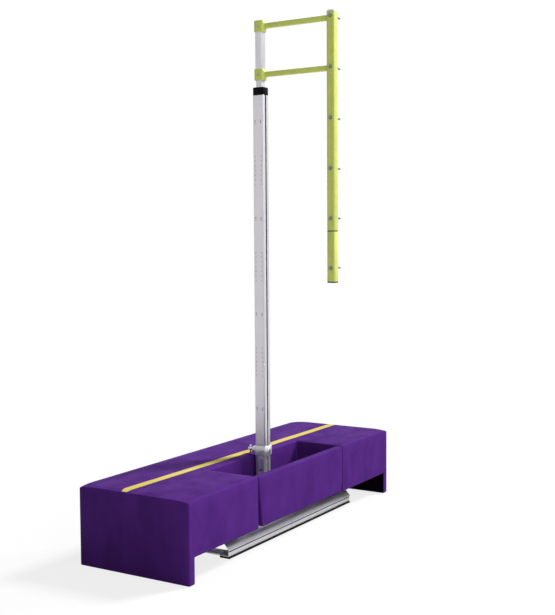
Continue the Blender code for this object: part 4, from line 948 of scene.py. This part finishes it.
class STANDARD_OT_scale(bpy.types.Operator):
    """Print the height scale on the upright's near face"""

    bl_idname = "standard.scale"
    bl_label = "Height scale"

    film_thickness = 0.0002
    ink_thickness = 0.0001
    rows, top_feet = 4, 16
    inches_per_foot, cm_per_foot = 12, 30.48
    large_size, small_size = 0.0135, 0.0060
    # The marks: how far apart, half their width, their gap from the figures and their lengths
    mark_pitch, mark_half, mark_gap = 0.006, 0.0007, 0.0030
    long_reach, short_reach = 0.0042, 0.0026

    def execute(self, context):
        settings = context.scene.standard_scale
        face = TUBE_LOW.y - 0.00005
        bm = bmesh.new()
        block(bm, (TUBE_X + settings.left - 0.009, face - self.film_thickness, PAD_HIGH.z + 0.08),
              (TUBE_X + settings.right + 0.009, face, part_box("tube_cap")[0].z - 0.002))
        upright = [edge for edge in bm.edges
                   if abs((edge.verts[0].co - edge.verts[1].co).y) > 0.0001]
        round_over(bm, upright, 0.003, 4)
        finish_piece(bm, "scale_strip", "scale_film", "carriage")
        bm = bmesh.new()
        front = face - self.film_thickness
        for row in range(self.rows):
            height = settings.top - settings.step * row
            feet = self.top_feet - 2 * row
            for value, column in ((feet * self.inches_per_foot, settings.left),
                                  (round(feet * self.cm_per_foot), settings.right)):
                self.add_number(bm, f"{value}", column, height, front, self.large_size)
            if row < self.rows - 1:
                self.add_ruling(bm, settings, height - settings.step / 2, front, feet * 10)
        finish_piece(bm, "scale_print", "scale_ink", "carriage")
        return {"FINISHED"}

    def add_number(self, bm, text, column, height, front, size):
        """A number that reads upwards, in raised ink."""
        curve = bpy.data.curves.new("number", "FONT")
        curve.body = text
        curve.size = size
        curve.resolution_u = 2
        curve.align_x = "CENTER"
        curve.align_y = "CENTER"
        curve.space_character = 1.25
        curve.offset = size * 0.02
        curve.extrude = self.ink_thickness / 2
        mesh = mesh_of(curve)
        centre = Vector((TUBE_X + column, front - self.ink_thickness / 2, height))
        # Across the page goes up the tube, and up the page goes towards -X
        turn = Matrix(((0, -1, 0), (0, 0, -1), (1, 0, 0))).to_4x4()
        mesh.transform(Matrix.Translation(centre) @ turn)
        bm.from_mesh(mesh)
        bpy.data.meshes.remove(mesh)

    def add_ruling(self, bm, settings, middle, front, start):
        """A ruled stretch: a mark every 6 mm in both columns and a small number at every fifth."""
        half = round(settings.block / self.mark_pitch / 2)
        for step in range(-half, half + 1):
            height = middle + step * self.mark_pitch
            long_mark = step % 5 == 0
            reach = self.long_reach if long_mark else self.short_reach
            for column, way in ((settings.left, -1), (settings.right, 1)):
                inner = TUBE_X + column + way * self.mark_gap
                outer = inner + way * reach
                block(bm, (min(inner, outer), front - self.ink_thickness, height - self.mark_half),
                      (max(inner, outer), front, height + self.mark_half))
                if long_mark:
                    self.add_number(bm, f"{start + step // 5}", column, height, front,
                                    self.small_size)


# Pad


def fill_cover(piece, held, pressure, most):
    """Let the foam fill the cover by a cloth simulation, and keep the result."""
    scene = bpy.context.scene
    mesh = piece.data
    rest = [vertex.co.copy() for vertex in mesh.vertices]
    group = piece.vertex_groups.new(name="seams")
    for index, share in held.items():
        group.add([index], share, "REPLACE")
    cloth = piece.modifiers.new("cover", "CLOTH")
    settings = cloth.settings
    settings.quality = 5
    settings.mass = 0.6
    settings.tension_stiffness = 15
    settings.compression_stiffness = 15
    settings.shear_stiffness = 5
    settings.bending_stiffness = 2.5
    settings.use_pressure = True
    settings.uniform_pressure_force = pressure
    settings.shrink_min = -0.004
    settings.effector_weights.gravity = 0
    settings.vertex_group_mass = "seams"
    settings.pin_stiffness = 1.0
    cloth.collision_settings.use_collision = False
    cloth.point_cache.frame_start = 1
    cloth.point_cache.frame_end = COVER_FRAMES
    for step in range(1, COVER_FRAMES + 1):
        scene.frame_set(step)
    shaped = piece.evaluated_get(bpy.context.evaluated_depsgraph_get()).data
    moved = []
    for vertex, start in zip(shaped.vertices, rest):
        shift = vertex.co - start
        if shift.length > most:
            shift *= most / shift.length
        moved.append(start + shift)
    piece.modifiers.remove(cloth)
    piece.vertex_groups.remove(group)
    scene.frame_set(1)
    for vertex, place in zip(mesh.vertices, moved):
        vertex.co = place
    mesh.update()


def held_near(mesh, lines, reach):
    """Which points a seam holds: all of those on a line, fading out over a distance."""
    held = {}
    for vertex in mesh.vertices:
        near = min(distance_to_line(vertex.co, low, high) for low, high in lines)
        if near < reach:
            held[vertex.index] = min(1.0, 1.4 * (1 - near / reach))
    return held


def distance_to_line(point, low, high):
    """How far a point lies from a stretch between two ends."""
    along = high - low
    share = max(0.0, min(1.0, (point - low).dot(along) / along.length_squared))
    return (point - (low + along * share)).length


def mark_seams(mesh, held):
    """Write down how near each point is to a seam, for the puckers that the finish draws."""
    layer = mesh.attributes.new("near_seam", "FLOAT", "POINT")
    for index, share in held.items():
        layer.data[index].value = share


def settle_foam(mesh, held, depth):
    """Soft hollows and swells of foam that has been leant on, fading out towards the seams.

    The wide ones are about 0.25 m across and the small ones about 70 mm.
    """
    normals = [vertex.normal.copy() for vertex in mesh.vertices]
    for vertex, normal in zip(mesh.vertices, normals):
        place = vertex.co
        swell = noise.noise(Vector((place.x * 5, place.y * 3.5, place.z * 3)))
        swell += 0.5 * noise.noise(Vector((place.x * 17, place.y * 13, place.z * 4)) + X * 9)
        vertex.co = place + normal * depth * swell * (1 - held.get(vertex.index, 0.0))
    mesh.update()


def smooth_cover(piece):
    """Round the cover's mesh once more."""
    smoother = piece.modifiers.new("smooth_cover", "SUBSURF")
    smoother.levels = smoother.render_levels = 1


class STANDARD_OT_pad(bpy.types.Operator):
    """Make the vinyl-covered foam pad over the base"""

    bl_idname = "standard.pad"
    bl_label = "Base pad"

    corner_reach, corner_droop = 0.11, 0.010

    def execute(self, context):
        settings = context.scene.standard_pad
        spare = settings.overhang
        low = PAD_LOW + Vector((-spare, -spare, 0.0005))
        high = PAD_HIGH + Vector((0, spare * 0.7, -0.001))
        tunnel, leg_y = settings.tunnel_height, PAD_HIGH.y - settings.leg
        back, half = settings.slot_back, settings.slot_half
        bm = bmesh.new()
        block(bm, low, high)
        cut_all(bm, (0, 0, tunnel), Z)
        for end in (-1, 1):
            cut_all(bm, (0, end * leg_y, 0), Y)
            cut_all(bm, (0, end * half, 0), Y)
        cut_all(bm, (back, 0, 0), X)
        self.open_room(bm, lambda at: at.z < tunnel and abs(at.y) < leg_y)
        self.open_room(bm, lambda at: at.z > tunnel and abs(at.y) < half and at.x > back)
        self.add_walls(bm, low, high, tunnel, leg_y, back, half)
        bmesh.ops.remove_doubles(bm, verts=bm.verts, dist=1e-5)
        bmesh.ops.dissolve_limit(bm, angle_limit=math.radians(1), verts=bm.verts[:],
                                 edges=bm.edges[:])
        bmesh.ops.recalc_face_normals(bm, faces=bm.faces)
        edges = sharp_edges(bm, 40)
        seams = [(edge.verts[0].co.copy(), edge.verts[1].co.copy()) for edge in edges]
        round_over(bm, edges, settings.edge_radius, 3)
        cut_grid(bm, low, high, settings.panel_grid)
        pad = finish_piece(bm, "base_pad", "purple_vinyl", "pad", crease=180)
        held = held_near(pad.data, seams, PAD_SEAM_REACH)
        fill_cover(pad, held, settings.pressure, settings.fullness)
        settle_foam(pad.data, held, PAD_SWELL)
        self.sag_corners(pad.data, low, high)
        mark_seams(pad.data, held)
        self.mark_underside(pad.data, tunnel, leg_y)
        smooth_cover(pad)
        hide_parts("pad_body")
        return {"FINISHED"}

    def sag_corners(self, mesh, low, high):
        """The foam is soft at the four top corners, so the cover droops there."""
        for x, y in ((low.x, low.y), (high.x, low.y), (low.x, high.y), (high.x, high.y)):
            corner = Vector((x, y, high.z))
            for vertex in mesh.vertices:
                near = max(0.0, 1 - (vertex.co - corner).length / self.corner_reach)
                vertex.co.z -= self.corner_droop * near ** 2
        mesh.update()

    def mark_underside(self, mesh, tunnel, leg_y):
        """The faces inside the tunnel are marked, for the finish to colour them near-black."""
        layer = mesh.attributes.new("underside", "FLOAT", "FACE")
        for face in mesh.polygons:
            inside = abs(face.center.y) < leg_y + 0.001 and face.center.z < tunnel + 0.001
            layer.data[face.index].value = 1.0 if inside else 0.0

    def open_room(self, bm, inside):
        """Take away the faces over a hollow."""
        gone = [face for face in bm.faces if inside(face.calc_center_median())]
        bmesh.ops.delete(bm, geom=gone, context="FACES")

    def add_walls(self, bm, low, high, tunnel, leg_y, back, half):
        """The walls of the tunnel and of the slot."""
        def wall(*corners):
            bmesh.ops.contextual_create(bm, geom=[bm.verts.new(corner) for corner in corners])

        front = high.x
        for end in (-1, 1):
            y = end * leg_y
            wall((low.x, y, low.z), (front, y, low.z), (front, y, tunnel), (low.x, y, tunnel))
            y = end * half
            wall((back, y, tunnel), (front, y, tunnel), (front, y, high.z), (back, y, high.z))
            wall((low.x, y, tunnel), (front, y, tunnel), (front, end * leg_y, tunnel),
                 (low.x, end * leg_y, tunnel))
        wall((low.x, -half, tunnel), (back, -half, tunnel), (back, half, tunnel),
             (low.x, half, tunnel))
        wall((back, -half, tunnel), (back, half, tunnel), (back, half, high.z),
             (back, -half, high.z))


class STANDARD_OT_flap(bpy.types.Operator):
    """Make the padded front flap that closes the slot, and the cord sewn along its hinge"""

    bl_idname = "standard.flap"
    bl_label = "Front flap"

    # How far along the flap its near seam gapes, and how far in and up its far corner is drawn
    gape_reach = 0.30
    corner_length, corner_height, corner_pull = 0.10, 0.07, 0.013

    def execute(self, context):
        settings = context.scene.standard_pad
        inset = settings.fullness * 0.5
        low = FLAP_LOW + Vector((inset, 0.001, inset * 0.5))
        high = FLAP_HIGH - Vector((inset, 0.001, inset))
        bm = bmesh.new()
        block(bm, low, high)
        edges = bm.edges[:]
        seams = [(edge.verts[0].co.copy(), edge.verts[1].co.copy()) for edge in edges]
        round_over(bm, edges, 0.006, 3)
        cut_grid(bm, low, high, settings.panel_grid * 0.8)
        flap = finish_piece(bm, "front_flap", "purple_vinyl", "flap", crease=180)
        held = held_near(flap.data, seams, FLAP_SEAM_REACH)
        fill_cover(flap, held, settings.pressure, FLAP_FULLNESS)
        settle_foam(flap.data, held, FLAP_SWELL)
        self.open_seam(flap.data, low, high, settings.seam_opening)
        mark_seams(flap.data, held)
        smooth_cover(flap)
        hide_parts("pad_flap")
        self.add_hinge_cord(FLAP_HIGH.y, low.z, high.z)
        return {"FINISHED"}

    def open_seam(self, mesh, low, high, opening):
        """Let the near seam gape towards its foot, and draw the far bottom corner in a little."""
        for vertex in mesh.vertices:
            near = max(0.0, 1 - (vertex.co.y - low.y) / self.gape_reach)
            foot = max(0.0, 1 - (vertex.co.z - low.z) / (high.z - low.z))
            far = max(0.0, 1 - (high.y - vertex.co.y) / self.corner_length)
            corner = max(0.0, 1 - (vertex.co.z - low.z) / self.corner_height)
            vertex.co.y += opening * near * foot ** 1.2 - self.corner_pull * far * corner

    def add_hinge_cord(self, y, low_z, high_z):
        """The thin sewn cord in the seam that the flap turns on."""
        radius = 0.0016
        run = high_z - low_z - 0.016
        bm = bmesh.new()
        turned(bm, (PAD_HIGH.x - 0.0045, y, low_z + 0.006), Z, [
            (0, 0), (0, radius * 0.7), (radius, radius), (run, radius),
            (run + radius, radius * 0.6), (high_z - low_z - 0.014, 0)], sides=16)
        finish_piece(bm, "hinge_cord", "purple_vinyl", "pad")


class STANDARD_OT_sewing(bpy.types.Operator):
    """Sew the stripe along the top of the pad, with its stitches and the pad's hems"""

    bl_idname = "standard.sewing"
    bl_label = "Stripe and stitches"

    # The stripe's middle, and how far it drifts, from where and over what length
    stripe_x, stripe_drift, stripe_from, stripe_run = -0.19625, 0.020, 1.13, 2.23
    # How far the hems' stitches keep from the lower edge, the pad's ends, a seam and the gape
    hem, end_clear, seam_clear, gape_clear = 0.014, 0.06, 0.012, 0.055
    # The thread's half width and half height, and a stitch's half length as a share of the pitch
    thread_half, thread_rise, stitch_share = 0.00045, 0.0005, 0.36

    def execute(self, context):
        settings = context.scene.standard_pad
        pad = bpy.data.objects["base_pad"]
        flap = bpy.data.objects["front_flap"]
        graph = context.evaluated_depsgraph_get()
        self.surfaces = {name: BVHTree.FromObject(piece, graph)
                         for name, piece in (("pad", pad), ("flap", flap))}
        self.add_stripe(settings)
        seam, end = settings.slot_half + self.seam_clear, PAD_HIGH.y - self.end_clear
        rows = [[Vector((PAD_HIGH.x + 0.01, y, settings.tunnel_height + self.hem)) for y in stretch]
                for stretch in ((-end, -seam), (seam, end))]
        self.add_stitches("pad_hem_stitches", rows, -X, "pad", "pad", "purple_thread")
        row = [Vector((FLAP_HIGH.x + 0.01, y, FLAP_LOW.z + self.hem))
               for y in (FLAP_LOW.y + self.gape_clear, FLAP_HIGH.y - self.seam_clear)]
        self.add_stitches("flap_hem_stitches", [row], -X, "flap", "flap", "purple_thread")
        return {"FINISHED"}

    def stripe_centre(self, y):
        """X of the stripe's middle: it runs a little askew along the pad."""
        return self.stripe_x + self.stripe_drift * (y + self.stripe_from) / self.stripe_run

    def surface_at(self, start, direction, surface):
        """Where a line meets the cover, and the way the cover faces there."""
        place, normal, _, _ = self.surfaces[surface].ray_cast(start, direction, 0.1)
        return place, normal

    def add_stripe(self, settings):
        """The stripe, lying on the cover, with one corner cut off at its near end."""
        half = settings.stripe_width / 2
        low_y, high_y = PAD_LOW.y + 0.003, PAD_HIGH.y - 0.010
        steps, across, thickness = 150, 4, 0.0009
        # Over a short length at its near end it widens from a share of its width
        point, blunt = 0.045, 0.65
        bm = bmesh.new()
        bmesh.ops.create_grid(bm, x_segments=across, y_segments=steps, size=0.5)
        for vertex in bm.verts:
            y = low_y + (high_y - low_y) * (vertex.co.y + 0.5)
            width = half * min(1.0, blunt + (1 - blunt) * (y - low_y) / point)
            x = self.stripe_centre(y) + 2 * vertex.co.x * width + (half - width)
            place, normal = self.surface_at(Vector((x, y, PAD_HIGH.z + 0.05)), -Z, "pad")
            vertex.co = place + normal * 0.0003
        thicken(bm, thickness)
        finish_piece(bm, "sewn_stripe", "yellow_vinyl", "pad")
        rows = [[Vector((self.stripe_centre(y) + side * (half - 0.004), y, PAD_HIGH.z + 0.05))
                 for y in (low_y + point, high_y - 0.004)] for side in (-1, 1)]
        self.add_stitches("stripe_stitches", rows, -Z, "pad", "pad", "yellow_thread", thickness)

    def add_stitches(self, name, rows, direction, surface, body, thread, rise=0.0):
        """Rows of thread stitches lying on the cover."""
        stitch = bpy.context.scene.standard_pad.stitch
        bm = bmesh.new()
        for start, end in rows:
            run = (end - start).normalized()
            side = run.cross(direction).normalized()
            count = int((end - start).length / stitch)
            for step in range(count):
                middle = start + run * stitch * (step + 0.5)
                place, normal = self.surface_at(middle, direction, surface)
                if place is None:
                    continue
                place = place - direction * (rise + 0.0002)
                half = stitch * self.stitch_share
                turn = Matrix((run * half, side * self.thread_half,
                               normal * self.thread_rise)).transposed().to_4x4()
                bmesh.ops.create_icosphere(bm, subdivisions=1, radius=1.0,
                                           matrix=Matrix.Translation(place) @ turn)
        finish_piece(bm, name, thread, body, crease=180)


class STANDARD_PT_parts(bpy.types.Panel):
    """The sizes, the colours and the pieces in the order they are made"""

    bl_label = "Vault standard"
    bl_idname = "STANDARD_PT_parts"
    bl_space_type = "VIEW_3D"
    bl_region_type = "UI"
    bl_category = "Vault standard"

    def draw(self, context):
        for group in SETTINGS:
            settings = getattr(context.scene, group)
            for key in settings.bl_rna.properties.keys():
                if key not in ("rna_type", "name"):
                    self.layout.prop(settings, key)
        for operator in OPERATORS:
            self.layout.operator(operator.bl_idname)


SETTINGS = {
    "standard_stage": StageSettings,
    "standard_metal": MetalSettings,
    "standard_scale": ScaleSettings,
    "standard_pad": PadSettings,
}
OPERATORS = (
    STANDARD_OT_stage,
    STANDARD_OT_extrusions,
    STANDARD_OT_green_parts,
    STANDARD_OT_castings,
    STANDARD_OT_black_parts,
    STANDARD_OT_fasteners,
    STANDARD_OT_scale,
    STANDARD_OT_pad,
    STANDARD_OT_flap,
    STANDARD_OT_sewing,
)


def register():
    for settings in SETTINGS.values():
        bpy.utils.register_class(settings)
    for name, settings in SETTINGS.items():
        setattr(bpy.types.Scene, name, bpy.props.PointerProperty(type=settings))
    for operator in OPERATORS:
        bpy.utils.register_class(operator)
    bpy.utils.register_class(STANDARD_PT_parts)


def unregister():
    bpy.utils.unregister_class(STANDARD_PT_parts)
    for operator in reversed(OPERATORS):
        bpy.utils.unregister_class(operator)
    for name, settings in SETTINGS.items():
        delattr(bpy.types.Scene, name)
        bpy.utils.unregister_class(settings)


def main():
    register()
    for operator in OPERATORS:
        group, name = operator.bl_idname.split(".")
        getattr(getattr(bpy.ops, group), name)()


if __name__ == "__main__":
    main()
